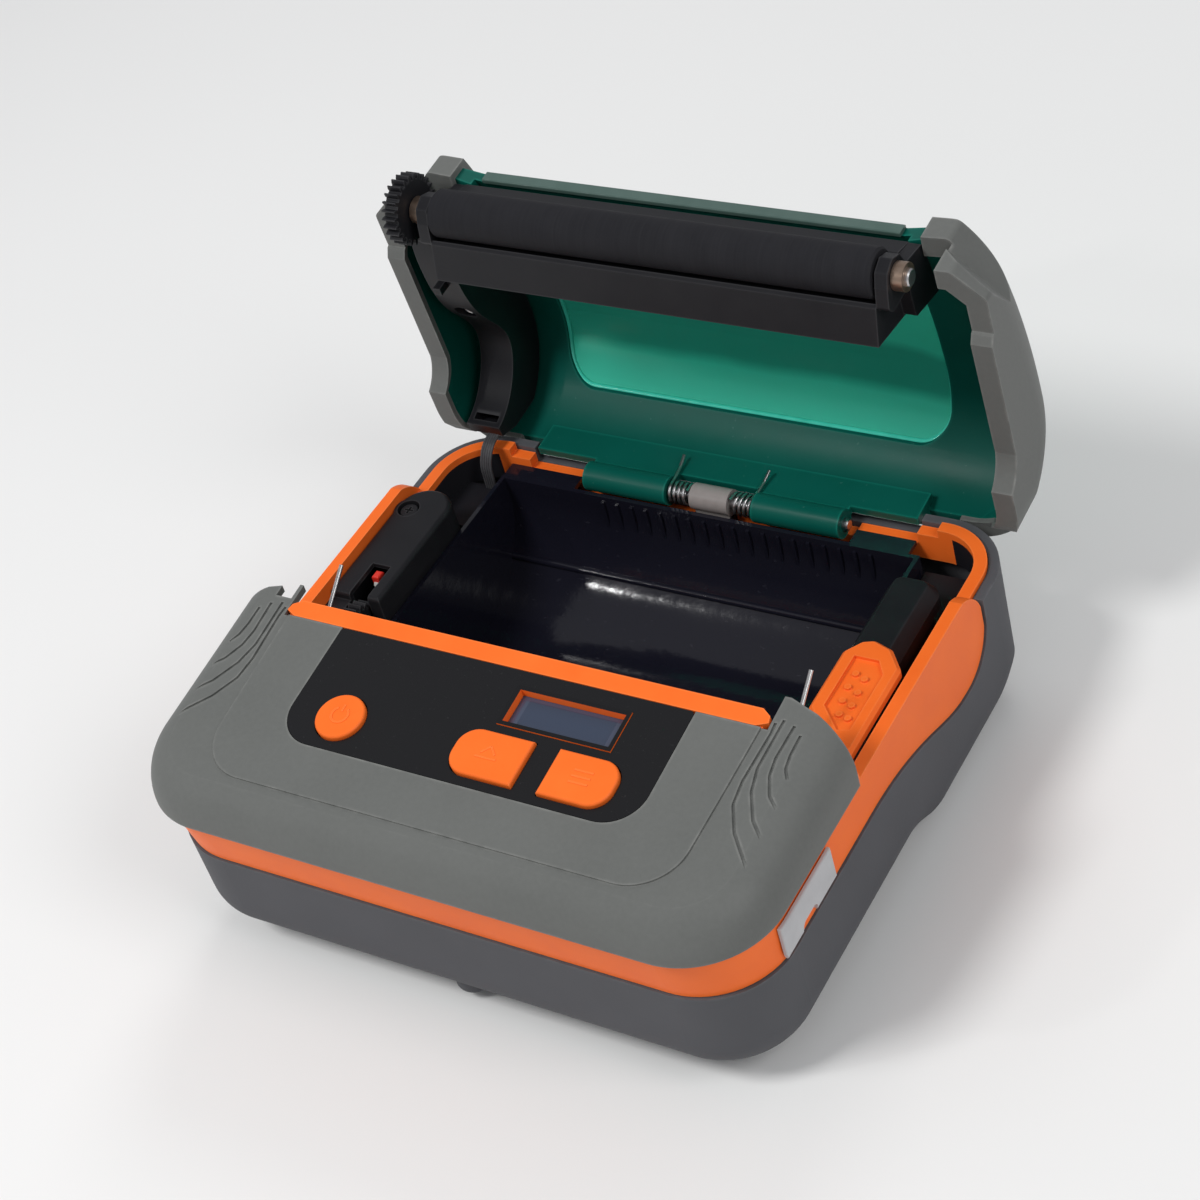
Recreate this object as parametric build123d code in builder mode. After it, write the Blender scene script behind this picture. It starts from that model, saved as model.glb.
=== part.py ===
from build123d import *
from math import atan2, cos, degrees, hypot, pi, radians, sin, sqrt, tan
import os

os.makedirs("parts", exist_ok=True)

# A portable label printer, standing on a table with its lid open.
# All sizes are millimetres. +X is the printer's right, +Y its back and +Z up.
# The origin is on the table, in the middle of the flat under the paper bay.
# Places are given from the lid's hinge axis. Those of the lid's pieces are given
# as they lie when the lid is shut, and lid planes carry them to the open lid.

# Hinge axis and lid swing
hinge_height = 36.5
hinge_setback = 31.5
lid_swing = 85.0

# Clearances
body_gap = 0.35
seat_gap = 0.12
running_gap = 0.05

# Lower case
case_half = 76.0
case_front = -131.7
case_rear = 6.0
case_wall = 2.4
shell_proud = 0.5
parting_height = -4.4
parting_gap = 0.25
front_corner = 19.0
rear_corner = 17.0
front_underside = -31.0
bottom_round = 10.0
bulge_front = -64.0
bulge_flat_front = -46.0
bulge_flat_rear = -17.0
bulge_radius = 23.0
shell_rear_top = 1.6
fin_depth = -14.6
fin_low_y = -29.0
fin_rear = -16.5
hinge_gap_half = 52.6
foot_length = 26.0
foot_width = 12.0
foot_set_in = 17.0
nub_radius = 4.6
nub_drop = 3.2

# Orange middle frame
band_lean = 2.5
rail_top = 8.0
rail_width = 3.0
rim_side_top = 2.6
rim_rear_top = 0.4
rim_width = 3.0
rim_depth = 9.6
lip_half = 61.2
lip_rear = -79.4
lip_width = 4.4
lip_thick = 1.8
deck_level = -6.2
deck_thick = 1.8

# Front cover and control panel
cover_half = 78.0
cover_front = -135.6
cover_foot = 9.9
cover_corner = 20.5
cover_round = 11.0
cover_foot_round = 1.2
cover_wall = 2.2
prong_rear = -75.3
prong_cut = 8.0
panel_height = 25.3
panel_rear = -83.9
panel_tilt = 6.69
panel_half = 44.9
panel_length = 30.8
panel_corner = 9.0
panel_thick = 0.8
border_half = 60.0
border_length = 43.0
border_corner = 12.0
groove_width = 0.7
groove_depth = 0.4

# Buttons and display
button_height = 11.6
button_travel = 0.7
button_proud = 1.1
button_gap = 0.3
button_thick = 2.6
power_x = -31.6
power_t = -22.5
key_t = -22.6
feed_x = 6.7
feed_width = 17.2
menu_x = 29.5
menu_width = 16.0
window_x = 18.0
window_t = -9.2
window_width = 26.0
window_height = 8.4
bezel_wall = 1.0
switch_board_drop = 7.5
switch_board_thick = 1.2

# Paper bay
roll_y = -30.4
roll_z = -6.0
bay_radius = 25.4
bay_wall = 1.1
bay_left = -57.2
bay_right = 54.2
bay_front_angle = 60.0
bay_top = -1.5
rib_pitch = 4.0
rib_width = 0.8
rib_proud = 0.5
ridge_angle = -40.0

# Side covers
block_top = 6.0
block_rear = -20.0
block_front = -58.4
block_wall = 1.2
side_cover_left = 54.5
side_cover_right = 66.8
side_cover_rear = -15.0
side_cover_front = -46.0
side_cover_top = 5.0

# Print unit
platen_y = -74.2
platen_z = 8.0
platen_radius = 5.6
platen_half = 56.0
platen_shaft_radius = 2.0
bush_radius = 3.2
bush_length = 3.0
head_angle = -140.0
head_length = 17.0
head_width = 110.0
head_thick = 1.2
heatsink_thick = 3.2
bracket_thick = 1.2
bracket_half = 62.6
latch_wire = 1.0
latch_x = 60.6

# Gear train: module and teeth, output gear meets the platen gear with the lid shut
gear_module = 0.6
platen_teeth = 26
output_teeth = 28
idler_small_teeth = 14
idler_big_teeth = 40
pinion_teeth = 12
gear_face_width = 3.6
gear_backlash = 0.14
output_angle = -46.3
idler_angle = 213.7
pinion_angle = 196.0
gear_plane_a = -62.8
gear_plane_b = -67.6
gear_post_radius = 1.5
gear_plate_face = -59.6
gear_plate_thick = 1.0
motor_radius = 12.5
motor_length = 19.0

# Release lever
lever_top = 9.4
lever_thick = 2.4
lever_pivot_y = -70.0
lever_pivot_z = 3.0
lever_pin_radius = 1.0

# Lid
lid_half = 76.2
lid_front = -71.0
lid_front_height = 25.6
lid_arc_y = -23.0
lid_arc_z = 6.0
lid_arc_radius = 27.2
lid_edge_round = 12.0
lid_seam = 8.35
lid_rear_seam = 3.0
ear_from = 67.2
ear_seam = 10.2
ear_height = 19.6
lid_seam_step = -20.5
bumper_proud = 1.8
bumper_inner = 60.0
skin = 2.4
bumper_reach = 2.4
window_half = 52.0
window_front = -60.0
window_rear = -5.0
window_corner = 8.0
barrel_radius = 3.6
barrel_inner = 11.7
barrel_outer = 34.6
pin_radius = 1.5
pin_half = 36.0
knuckle_half = 5.1
knuckle_radius = 3.2
spring_wire = 0.8
spring_pitch = 1.26
spring_turns = 4
spring_radius = 2.5
spring_inner = 5.95
holder_half = 56.6
arm_left = -70.0
arm_right = -60.4
arm_screw_y = -37.0
arm_screw_z = 14.6

# Port cover, sockets and boards
port_rear = -94.6
port_front = -117.0
port_low = -2.2
port_high = 6.0
port_proud = 0.9
port_hinge_out = 0.6
port_hinge_drop = 0.2
port_bead_radius = 0.45
board_level = -2.6
board_thick = 1.6
usb_y = -99.0
power_socket_y = -110.0

# Battery
battery_length = 70.0
battery_width = 34.0
battery_height = 19.0
battery_x = 8.0
battery_rear = -84.0
door_thick = 1.8
door_half = 41.0
door_front = -118.6
door_rear = -80.0

swing = radians(lid_swing)


def deck(z):
    """Level plane at height z, its origin above the middle of the hinge axis."""
    return Plane((0, hinge_setback, hinge_height + z))


def side(x):
    """Upright plane at x, its own x running back and its own y up."""
    return Plane(origin=(x, hinge_setback, hinge_height), x_dir=(0, 1, 0), z_dir=(1, 0, 0))


def lid_deck(z):
    """The level plane of the shut lid, carried open."""
    at = (0, hinge_setback + z * sin(swing), hinge_height + z * cos(swing))
    return Plane(origin=at, x_dir=(1, 0, 0), z_dir=(0, sin(swing), cos(swing)))


def lid_side(x):
    """The upright plane of the shut lid at x, carried open."""
    at = (x, hinge_setback, hinge_height)
    return Plane(origin=at, x_dir=(0, cos(swing), -sin(swing)), z_dir=(1, 0, 0))


def panel(z):
    """Plane of the sloping control panel, z above its face, from its rear edge."""
    slope = radians(panel_tilt)
    face = Plane(
        origin=(0, hinge_setback + panel_rear, hinge_height + panel_height),
        x_dir=(1, 0, 0),
        z_dir=(0, -sin(slope), cos(slope)),
    )
    return face.offset(z)


def outline(half, front, rear, front_radius, rear_radius, mode=Mode.ADD):
    """Rounded rectangle seen from above, from front to rear."""
    with BuildSketch(Plane.XY, mode=Mode.PRIVATE) as shape:
        with Locations((0, (front + rear) / 2)):
            Rectangle(2 * half, rear - front)
        fillet(shape.vertices().group_by(Axis.Y)[0], radius=front_radius)
        if rear_radius > 0:
            fillet(shape.vertices().group_by(Axis.Y)[-1], radius=rear_radius)
    add(shape.sketch, mode=mode)


def case_form(inset):
    """The lower case as a solid, drawn in by inset on every face but its top."""
    half = case_half + shell_proud - inset
    front = case_front - shell_proud + inset
    rear = case_rear + shell_proud - inset
    split_y = bulge_front - 16
    low = front_underside + inset
    ground = -hinge_height + inset
    radius = max(bottom_round - inset, 1.0)
    with BuildPart() as nose:
        with BuildSketch(deck(low)):
            outline(half, front, split_y, front_corner - inset, 0)
        extrude(amount=shell_rear_top - low)
        under = nose.faces().sort_by(Axis.Z)[0].edges()
        fillet(under.sort_by(Axis.Y)[:-1], radius=radius)
    with BuildPart() as bulge:
        with BuildSketch(side(0)):
            with BuildLine():
                arc_z = ground + bulge_radius - inset
                Line((split_y, shell_rear_top), (split_y, low))
                Line((split_y, low), (bulge_front, low))
                Spline(
                    (bulge_front, low),
                    (bulge_flat_front, ground),
                    tangents=((1, 0), (1, 0)),
                )
                Line((bulge_flat_front, ground), (rear - bulge_radius + inset, ground))
                CenterArc(
                    (rear - bulge_radius + inset, arc_z), bulge_radius - inset, 270, 90
                )
                Line((rear, arc_z), (rear, shell_rear_top))
                Line((rear, shell_rear_top), (split_y, shell_rear_top))
            make_face()
        extrude(amount=half, both=True)
        lower = bulge.edges().filter_by(
            lambda e: abs(abs(e.center().X) - half) < 0.01
            and e.center().Z < hinge_height + shell_rear_top - 1
            and e.center().Y - hinge_setback > split_y + 0.1
            and abs(e.tangent_at(0.5).Z) < 0.999
        )
        fillet(lower, radius=radius)
        with BuildSketch(deck(ground)):
            outline(half, split_y, rear, 0.01, rear_corner - inset)
        extrude(amount=shell_rear_top - ground, mode=Mode.INTERSECT)
    return nose.part + bulge.part


def parting_line(gap):
    """Upper limit of the shell seen from the side, raised by gap, as lines."""
    level = parting_height + gap
    Line((-160, level), (-76, level))
    Spline(
        (-76, level),
        (-44.5, -10.9 + gap),
        (fin_low_y, fin_depth + gap),
        tangents=((1, 0), (1, 0)),
    )
    ThreePointArc(
        (fin_low_y, fin_depth + gap),
        (fin_rear - 3.4 - gap * 0.7, -11.2 + gap * 0.7),
        (fin_rear - gap, parting_height),
    )


def side_cut(*points):
    """Closed polygon on the side plane, cut right across the printer."""
    with BuildPart() as shape:
        with BuildSketch(side(0)):
            with BuildLine():
                Polyline(*points, close=True)
            make_face()
        extrude(amount=120, both=True)
    add(shape.part, mode=Mode.SUBTRACT)


def block(x_from, x_to, y_from, y_to, z_from, z_to, mode=Mode.ADD):
    """Plain block between two limits on each axis."""
    with BuildPart() as shape:
        with BuildSketch(deck(z_from)):
            with Locations(((x_from + x_to) / 2, (y_from + y_to) / 2)):
                Rectangle(x_to - x_from, y_to - y_from)
        extrude(amount=z_to - z_from)
    add(shape.part, mode=mode)


def rod(x_from, x_to, y, z, radius, mode=Mode.ADD):
    """Round bar along X, its middle at y and z."""
    with BuildPart() as shape:
        with BuildSketch(side(x_from)):
            with Locations((y, z)):
                Circle(radius)
        extrude(amount=x_to - x_from)
    add(shape.part, mode=mode)


# Bottom shell: one moulding, grey and rubber coated, deepest under the paper bay
with BuildPart() as bottom_shell:
    add(case_form(0))
    add(case_form(case_wall), mode=Mode.SUBTRACT)
    with BuildSketch(side(0)):
        with BuildLine():
            parting_line(0)
            Line((fin_rear, parting_height), (fin_rear, 60))
            Line((fin_rear, 60), (-160, 60))
            Line((-160, 60), (-160, parting_height))
        make_face()
    extrude(amount=100, both=True, mode=Mode.SUBTRACT)
    # cut-out that lets the open lid swing down behind
    block(-hinge_gap_half, hinge_gap_half, 0, 20, -2.5, 20, mode=Mode.SUBTRACT)
    # opening for the battery door
    block(
        battery_x - door_half - body_gap,
        battery_x + door_half + body_gap,
        door_front - body_gap,
        door_rear + body_gap,
        front_underside - 1,
        front_underside + case_wall + 1,
        mode=Mode.SUBTRACT,
    )
    # end walls of the battery bay
    for s in (-1, 1):
        near = battery_x + s * (battery_length / 2 + seat_gap)
        limits = sorted((near, near + s * 1.6))
        block(limits[0], limits[1], door_front - 3, door_rear + 2, front_underside + 2.2,
              front_underside + 17)
    # small rounded lug under the front edge
    with BuildSketch(deck(front_underside - nub_drop)):
        with Locations((-3, case_front + nub_radius + 3.2)):
            Circle(nub_radius)
    extrude(amount=nub_drop + case_wall)
    nub_foot = hinge_height + front_underside - nub_drop
    rims = bottom_shell.edges().filter_by(GeomType.CIRCLE)
    fillet(rims.filter_by(lambda e: abs(e.center().Z - nub_foot) < 0.01), radius=1.8)
bottom_shell.part.label = "bottom_shell"
export_step(bottom_shell.part, "parts/bottom_shell.step")

def gear_path():
    """Room for the platen gear, which swings down past the cover's rear edge."""
    tip = gear_module * (platen_teeth / 2 + 1) + body_gap
    reach = hypot(platen_y, platen_z)
    near = gear_plane_a + body_gap
    far = gear_plane_a - gear_face_width - body_gap
    with BuildPart() as shape:
        rod(far, near, 0, 0, reach + tip)
        rod(far, near, 0, 0, reach - tip, mode=Mode.SUBTRACT)
        block(far, near, -reach - tip, -reach / 2, platen_z, reach, mode=Mode.INTERSECT)
        rod(far, near, platen_y, platen_z, tip)
    return shape.part


# Middle frame: orange moulding with the band, the rails, the rear rim and the tear lip
with BuildPart() as mid_frame:
    for inset, mode in ((0, Mode.ADD), (rail_width, Mode.SUBTRACT)):
        low = fin_depth - 2 if inset == 0 else fin_depth - 3
        high = cover_foot - body_gap + (0 if inset == 0 else 1)
        slope = band_lean / (cover_foot - parting_height)
        with BuildSketch(deck(low)):
            front = case_front - slope * (low - parting_height) + inset
            outline(case_half - inset, front, fin_rear + 6, front_corner - inset, 0)
        with BuildSketch(deck(high)):
            front = case_front - slope * (high - parting_height) + inset
            outline(case_half - inset, front, fin_rear + 6, front_corner - inset, 0)
        loft(mode=mode)
    block(-100, 100, fin_rear - 0.5, fin_rear + 20, -60, 60, mode=Mode.SUBTRACT)
    with BuildSketch(side(0)):
        with BuildLine():
            parting_line(parting_gap)
            Line((fin_rear - parting_gap, parting_height), (fin_rear - parting_gap, -60))
            Line((fin_rear - parting_gap, -60), (-160, -60))
            Line((-160, -60), (-160, parting_height + parting_gap))
        make_face()
    extrude(amount=100, both=True, mode=Mode.SUBTRACT)
    side_cut((prong_rear - 2, rail_top), (0, rail_top), (0, 60), (prong_rear - 2, 60))
    with BuildSketch(side(0)):
        with BuildLine():
            Line((-24.5, rail_top), (-10, rail_top))
            Line((-10, rail_top), (-10, -30))
            Line((-10, -30), (fin_rear - parting_gap, -12))
            Line((fin_rear - parting_gap, -12), (fin_rear - parting_gap, parting_height))
            ThreePointArc(
                (fin_rear - parting_gap, parting_height), (-18.6, 3.6), (-24.5, rail_top)
            )
        make_face()
    extrude(amount=100, both=True, mode=Mode.SUBTRACT)
    # rear rim, low across the back where the lid is hinged
    rim_half = case_half + shell_proud - case_wall - 0.2
    rim_back = case_rear + shell_proud - case_wall - 0.2
    rim_corner = rear_corner - case_wall - 0.2
    with BuildPart(mode=Mode.PRIVATE) as rim:
        with BuildSketch(deck(rim_side_top - rim_depth)):
            outline(rim_half, -19.5, rim_back, 0.01, rim_corner)
            outline(
                rim_half - rim_width,
                -60,
                rim_back - rim_width,
                0.01,
                rim_corner - rim_width,
                mode=Mode.SUBTRACT,
            )
        extrude(amount=rim_depth)
        block(-58, 58, -20, 20, rim_rear_top, 60, mode=Mode.SUBTRACT)
        block(
            -hinge_gap_half, hinge_gap_half, -20, 20, -2.5, 60, mode=Mode.SUBTRACT
        )
        block(-pin_half - 1, pin_half + 1, -20, 20, -4.1, 60, mode=Mode.SUBTRACT)
    add(rim.part)
    # decks beside the paper bay
    block(56.0, 73.5, -60, -17, deck_level - deck_thick, deck_level)
    block(62.9, 73.5, -75, -59, deck_level - deck_thick, deck_level)
    block(62.9, 64.9, -72.2, -67.8, deck_level - 0.5, lever_pivot_z + 2.2)
    block(56.0, 71.5, -18, -4, deck_level - deck_thick, deck_level)
    block(-71.5, -59.4, -19, -4, deck_level - deck_thick, deck_level)
    # cross wall and tear lip in front of the print head
    with BuildPart(mode=Mode.PRIVATE) as lip:
        with BuildSketch(panel(0)):
            with BuildLine():
                Polyline(
                    (-lip_half + 2.5, 0),
                    (lip_half - 2.5, 0),
                    (lip_half, 1.2),
                    (lip_half - 0.4, 2.9),
                    (lip_half - 2.6, lip_width),
                    (-lip_half + 2.6, lip_width),
                    (-lip_half + 0.4, 2.9),
                    (-lip_half, 1.2),
                    close=True,
                )
            make_face()
        extrude(amount=-lip_thick)
        block(-60, 60, panel_rear, panel_rear + 1.6, 11.2, panel_height - 0.9)
        for s in (-1, 1):
            limits = sorted((s * 58, s * 66))
            block(limits[0], limits[1], panel_rear, panel_rear + 1.6, 11.2, 21)
            limits = sorted((s * 63.2, s * 66))
            block(limits[0], limits[1], panel_rear, panel_rear + 1.6, 1.2, 12)
            limits = sorted((s * 63.2, s * 74))
            block(limits[0], limits[1], panel_rear, panel_rear + 1.6, 1.2, 9.4)
    add(lip.part)
    # saddle under the hinge knuckle
    block(-5, 5, -2.6, rim_back - 1, -7, -3.75)
    # openings for the sockets on the right
    block(case_half - 6, case_half + 4, port_front + 2.4, port_rear - 2, port_low + 1.6,
          port_high - 1.2, mode=Mode.SUBTRACT)
    rod(62, 74.8, lever_pivot_y, lever_pivot_z, lever_pin_radius + 0.02, mode=Mode.SUBTRACT)
    add(gear_path(), mode=Mode.SUBTRACT)
mid_frame.part.label = "mid_frame"
export_step(mid_frame.part, "parts/mid_frame.step")


def cover_form(inset):
    """Front cover as a solid, drawn in by inset on every face but its foot."""
    with BuildPart() as form:
        with BuildSketch(deck(-8)):
            outline(
                cover_half - inset,
                cover_front + inset,
                -60,
                cover_corner - inset,
                0,
            )
        extrude(amount=60)
        with BuildSketch(panel(-inset)):
            Rectangle(300, 300)
        extrude(amount=60, mode=Mode.SUBTRACT)
        rims = form.edges().filter_by(
            lambda e: e.center().Z > hinge_height + 8
            and e.center().Y < hinge_setback - 60.5
            and abs(e.tangent_at(0.5).Z) < 0.9
        )
        fillet(rims, radius=cover_round - inset)
    return form.part


def groove(points, width):
    """Thin strip along a line of points on the panel plane, on both sides."""
    with BuildSketch(Plane.XY, mode=Mode.PRIVATE) as strip:
        with BuildLine():
            route = FilletPolyline(*points, radius=3.0)
        trace(route, line_width=width)
    add(strip.sketch)
    add(mirror(strip.sketch, about=Plane.YZ))


# Front cover: grey rubbery moulding round the control panel, with two rear prongs
groove_routes = (
    ((62.4, 1.9), (62.6, -0.7), (62.0, -13.1), (62.6, -18.9), (65.8, -25.0), (71.5, -31.6)),
    ((63.9, 3.0), (63.6, -9.4), (64.9, -15.1), (68.2, -21.3), (72.0, -25.2)),
    ((66.6, 2.2), (66.2, -6.1), (66.8, -10.4), (68.9, -15.0), (71.3, -17.2)),
    ((68.8, 0.3), (68.8, -4.5), (69.3, -8.1), (70.6, -10.2)),
)
with BuildPart() as front_cover:
    add(cover_form(0))
    add(cover_form(cover_wall), mode=Mode.SUBTRACT)
    block(-100, 100, -200, 0, -20, cover_foot, mode=Mode.SUBTRACT)
    block(-lip_half - 0.3, lip_half + 0.3, panel_rear - 0.1, 0, 0, 60, mode=Mode.SUBTRACT)
    with BuildSketch(deck(0)):
        for s in (-1, 1):
            with BuildLine():
                Polyline(
                    (s * 61, prong_rear),
                    (s * 63, prong_rear),
                    (s * 79, prong_rear - 5.6),
                    (s * 90, prong_rear - 5.6),
                    (s * 90, 0),
                    (s * 61, 0),
                    close=True,
                )
            make_face()
    extrude(amount=60, mode=Mode.SUBTRACT)
    # shallow step between the raised middle and the sides
    with BuildSketch(panel(1)):
        with Locations((0, 0)):
            Rectangle(2 * cover_half + 10, 140)
        with BuildLine():
            FilletPolyline(
                (-border_half - 0.4, 12),
                (-border_half + 0.4, -16),
                (-border_half + 1.4, -border_length),
                (border_half - 1.4, -border_length),
                (border_half - 0.4, -16),
                (border_half + 0.4, 12),
                radius=border_corner,
                close=False,
            )
            Line((border_half + 0.4, 12), (-border_half - 0.4, 12))
        make_face(mode=Mode.SUBTRACT)
    extrude(amount=-1 - groove_depth, mode=Mode.SUBTRACT)
    with BuildSketch(panel(1)):
        for route in groove_routes:
            groove(route, groove_width)
    extrude(amount=-1 - 2.2 * groove_depth, mode=Mode.SUBTRACT)
    # recess that takes the black panel, with the openings of the keys and display
    with BuildSketch(panel(1)):
        outline(panel_half + seat_gap, -panel_length - seat_gap, 1, panel_corner, 0)
    extrude(amount=-1 - panel_thick - 0.1, mode=Mode.SUBTRACT)
    add(gear_path(), mode=Mode.SUBTRACT)
def key_outline(x, width, grow):
    """Outline of a D-shaped key on the panel plane, its round end to the left."""
    radius = 0.42 * button_height
    flip = -1 if x < window_x else 1
    with BuildSketch(Plane.XY, mode=Mode.PRIVATE) as shape:
        with Locations((x, key_t)):
            Rectangle(width, button_height)
        ends = shape.vertices().group_by(Axis.X)
        round_end = ends[0] if flip < 0 else ends[-1]
        flat_end = ends[-1] if flip < 0 else ends[0]
        fillet(round_end, radius=radius)
        fillet(flat_end, radius=1.6)
        if grow:
            offset(amount=grow, kind=Kind.ARC)
    return shape.sketch


def power_outline(grow):
    """Outline of the round key."""
    with BuildSketch(Plane.XY, mode=Mode.PRIVATE) as shape:
        with Locations((power_x, power_t)):
            Circle(button_height / 2 + grow)
    return shape.sketch


def panel_prism(sketch, low, high):
    """Solid of a sketch on the panel plane between two depths."""
    with BuildPart() as shape:
        with BuildSketch(panel(low)):
            add(sketch)
        extrude(amount=high - low)
    return shape.part


def window_outline(grow):
    """Outline of the display window."""
    with BuildSketch(Plane.XY, mode=Mode.PRIVATE) as shape:
        with Locations((window_x, window_t)):
            Rectangle(window_width + 2 * grow, window_height + 2 * grow)
    return shape.sketch


def key_outlines(grow):
    """Outlines of the three keys, grown by the same amount."""
    return (
        power_outline(grow),
        key_outline(feed_x, feed_width, grow),
        key_outline(menu_x, menu_width, grow),
    )


# Openings under the keys and the display
for sketch in key_outlines(button_gap) + (window_outline(bezel_wall + seat_gap),):
    front_cover.part = front_cover.part - panel_prism(sketch, -6, 2)
front_cover.part.label = "front_cover"
export_step(front_cover.part, "parts/front_cover.step")

# Control panel: thin black plate let into the cover
with BuildPart() as control_panel:
    with BuildSketch(panel(-panel_thick)):
        outline(panel_half, -panel_length, -0.2, panel_corner, 1.0)
        for sketch in key_outlines(button_gap):
            add(sketch, mode=Mode.SUBTRACT)
        add(window_outline(bezel_wall + seat_gap), mode=Mode.SUBTRACT)
    extrude(amount=panel_thick)
control_panel.part.label = "control_panel"
export_step(control_panel.part, "parts/control_panel.step")

# Display bezel: orange frame whose inner walls show round the sunken display
with BuildPart() as display_bezel:
    with BuildSketch(panel(-3.0)):
        add(window_outline(bezel_wall))
        add(window_outline(0), mode=Mode.SUBTRACT)
    extrude(amount=3.0 + 0.25)
    with BuildSketch(panel(-3.4)):
        add(window_outline(bezel_wall + 1.2))
        add(window_outline(-1.0), mode=Mode.SUBTRACT)
    extrude(amount=0.6)
display_bezel.part.label = "display_bezel"
export_step(display_bezel.part, "parts/display_bezel.step")

# Display: glass cell in the bezel
with BuildPart() as display:
    with BuildSketch(panel(-2.8)):
        add(window_outline(-seat_gap))
    extrude(amount=1.1)
display.part.label = "display"
export_step(display.part, "parts/display.step")


def key(name, sketch, grown, middle):
    """Push key: rounded cap, a flange under the cover and a short stem."""
    with BuildPart() as cap:
        with BuildSketch(panel(-button_thick)):
            add(sketch)
        extrude(amount=button_thick + button_proud)
        fillet(cap.faces().sort_by(Axis.Z)[-1].edges(), radius=0.7)
        with BuildSketch(panel(-cover_wall - 0.35)):
            add(grown)
        extrude(amount=-0.9)
        with BuildSketch(panel(-cover_wall - 1.25)):
            with Locations(middle):
                Rectangle(3.0, 3.0)
        extrude(amount=-(switch_board_drop - cover_wall - 1.25 - 2.9))
    cap.part.label = name
    export_step(cap.part, "parts/" + name + ".step")
    return cap


# Keys: round power key on the left, two D-shaped keys under the display
key_plain = key_outlines(0)
key_grown = key_outlines(0.9)
key_centres = ((power_x, power_t), (feed_x, key_t), (menu_x, key_t))
power_button = key("power_button", key_plain[0], key_grown[0], key_centres[0])
feed_button = key("feed_button", key_plain[1], key_grown[1], key_centres[1])
menu_button = key("menu_button", key_plain[2], key_grown[2], key_centres[2])

# Button board: small circuit board under the keys, and the switches on it
with BuildPart() as button_board:
    with BuildSketch(panel(-switch_board_drop)):
        with Locations((0, -20.5)):
            Rectangle(86, 19)
        with Locations((window_x, window_t)):
            Rectangle(34, 12)
        with Locations((-41, -13), (41, -28)):
            Circle(1.2, mode=Mode.SUBTRACT)
    extrude(amount=-switch_board_thick)
button_board.part.label = "button_board"
export_step(button_board.part, "parts/button_board.step")

with BuildPart() as tact_switches:
    with BuildSketch(panel(-switch_board_drop)):
        with Locations(*key_centres):
            Rectangle(6, 6)
    extrude(amount=1.2)
    with BuildSketch(panel(-switch_board_drop + 1.2)):
        with Locations(*key_centres):
            Circle(1.6)
    extrude(amount=0.6)
tact_switches.part.label = "tact_switches"
export_step(tact_switches.part, "parts/tact_switches.step")

# Display carrier: block that holds the display over its board
with BuildPart() as display_carrier:
    with BuildSketch(panel(-switch_board_drop)):
        with Locations((window_x, window_t)):
            Rectangle(window_width + 2.4, window_height + 1.6)
            Rectangle(window_width - 3, window_height - 3, mode=Mode.SUBTRACT)
    extrude(amount=switch_board_drop - 3.5)
display_carrier.part.label = "display_carrier"
export_step(display_carrier.part, "parts/display_carrier.step")

# Release lever: orange rocker with a raised rim and gripping dots
lever_points = (
    (57.4, -45.4),
    (60.2, -41.6),
    (62.8, -40.6),
    (67.6, -42.2),
    (71.9, -47.3),
    (71.9, -75.0),
    (65.6, -72.4),
    (57.4, -62.9),
)
lever_dots = (
    (63.0, -51.0),
    (65.5, -52.0),
    (63.0, -55.0),
    (65.8, -56.0),
    (63.6, -59.0),
    (66.1, -59.8),
    (64.6, -62.8),
    (66.9, -63.4),
)
with BuildPart() as release_lever:
    with BuildSketch(deck(lever_top - lever_thick)):
        with BuildLine():
            Polyline(*lever_points, close=True)
        make_face()
        fillet(vertices(), radius=1.6)
    extrude(amount=lever_thick)
    chamfer(release_lever.faces().sort_by(Axis.Z)[-1].edges(), length=0.8)
    with BuildSketch(deck(lever_top)):
        with BuildLine():
            Polyline((60.6, -46.4), (66.4, -46.4), (69.0, -50.0), (69.0, -66.6),
                     (66.2, -67.4), (60.6, -61.6), close=True)
        make_face()
    extrude(amount=-0.9, mode=Mode.SUBTRACT)
    with BuildSketch(deck(lever_top - 0.9)):
        with Locations(*lever_dots):
            Circle(0.75)
    extrude(amount=0.6)
    # stem down to its pivot
    with BuildSketch(side(66.0)):
        with BuildLine():
            Polyline((-74.4, lever_top - lever_thick + 0.5), (-74.4, lever_pivot_z),
                     (-72.6, 0.4), (-68.6, 0.4), (-66.6, lever_pivot_z),
                     (-62, lever_top - lever_thick + 0.5), close=True)
        make_face()
    extrude(amount=3.4)
    rod(60, 74, lever_pivot_y, lever_pivot_z, lever_pin_radius + running_gap,
        mode=Mode.SUBTRACT)
release_lever.part.label = "release_lever"
export_step(release_lever.part, "parts/release_lever.step")
# Lever pin: steel, held between the rail and a post on the deck
with BuildPart() as lever_pin:
    rod(62.8, 74.6, lever_pivot_y, lever_pivot_z, lever_pin_radius)
lever_pin.part.label = "lever_pin"
export_step(lever_pin.part, "parts/lever_pin.step")


def bay_profile(inset):
    """Section of the paper bay: upright rear wall, half round floor, front slope."""
    radius = bay_radius - inset
    slope_angle = radians(-150)
    start = (roll_y + radius * cos(slope_angle), roll_z + radius * sin(slope_angle))
    run = (-sin(radians(30)), cos(radians(30)))
    rise = (bay_top + 4 - start[1]) / run[1]
    with BuildSketch(Plane.XY, mode=Mode.PRIVATE) as shape:
        with BuildLine():
            Line((roll_y + radius, bay_top + 4), (roll_y + radius, roll_z))
            ThreePointArc(
                (roll_y + radius, roll_z),
                (roll_y + radius * cos(radians(-75)), roll_z + radius * sin(radians(-75))),
                start,
            )
            Line(start, (start[0] + rise * run[0], bay_top + 4))
            Line((start[0] + rise * run[0], bay_top + 4), (roll_y + radius, bay_top + 4))
        make_face()
    return shape.sketch


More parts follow.
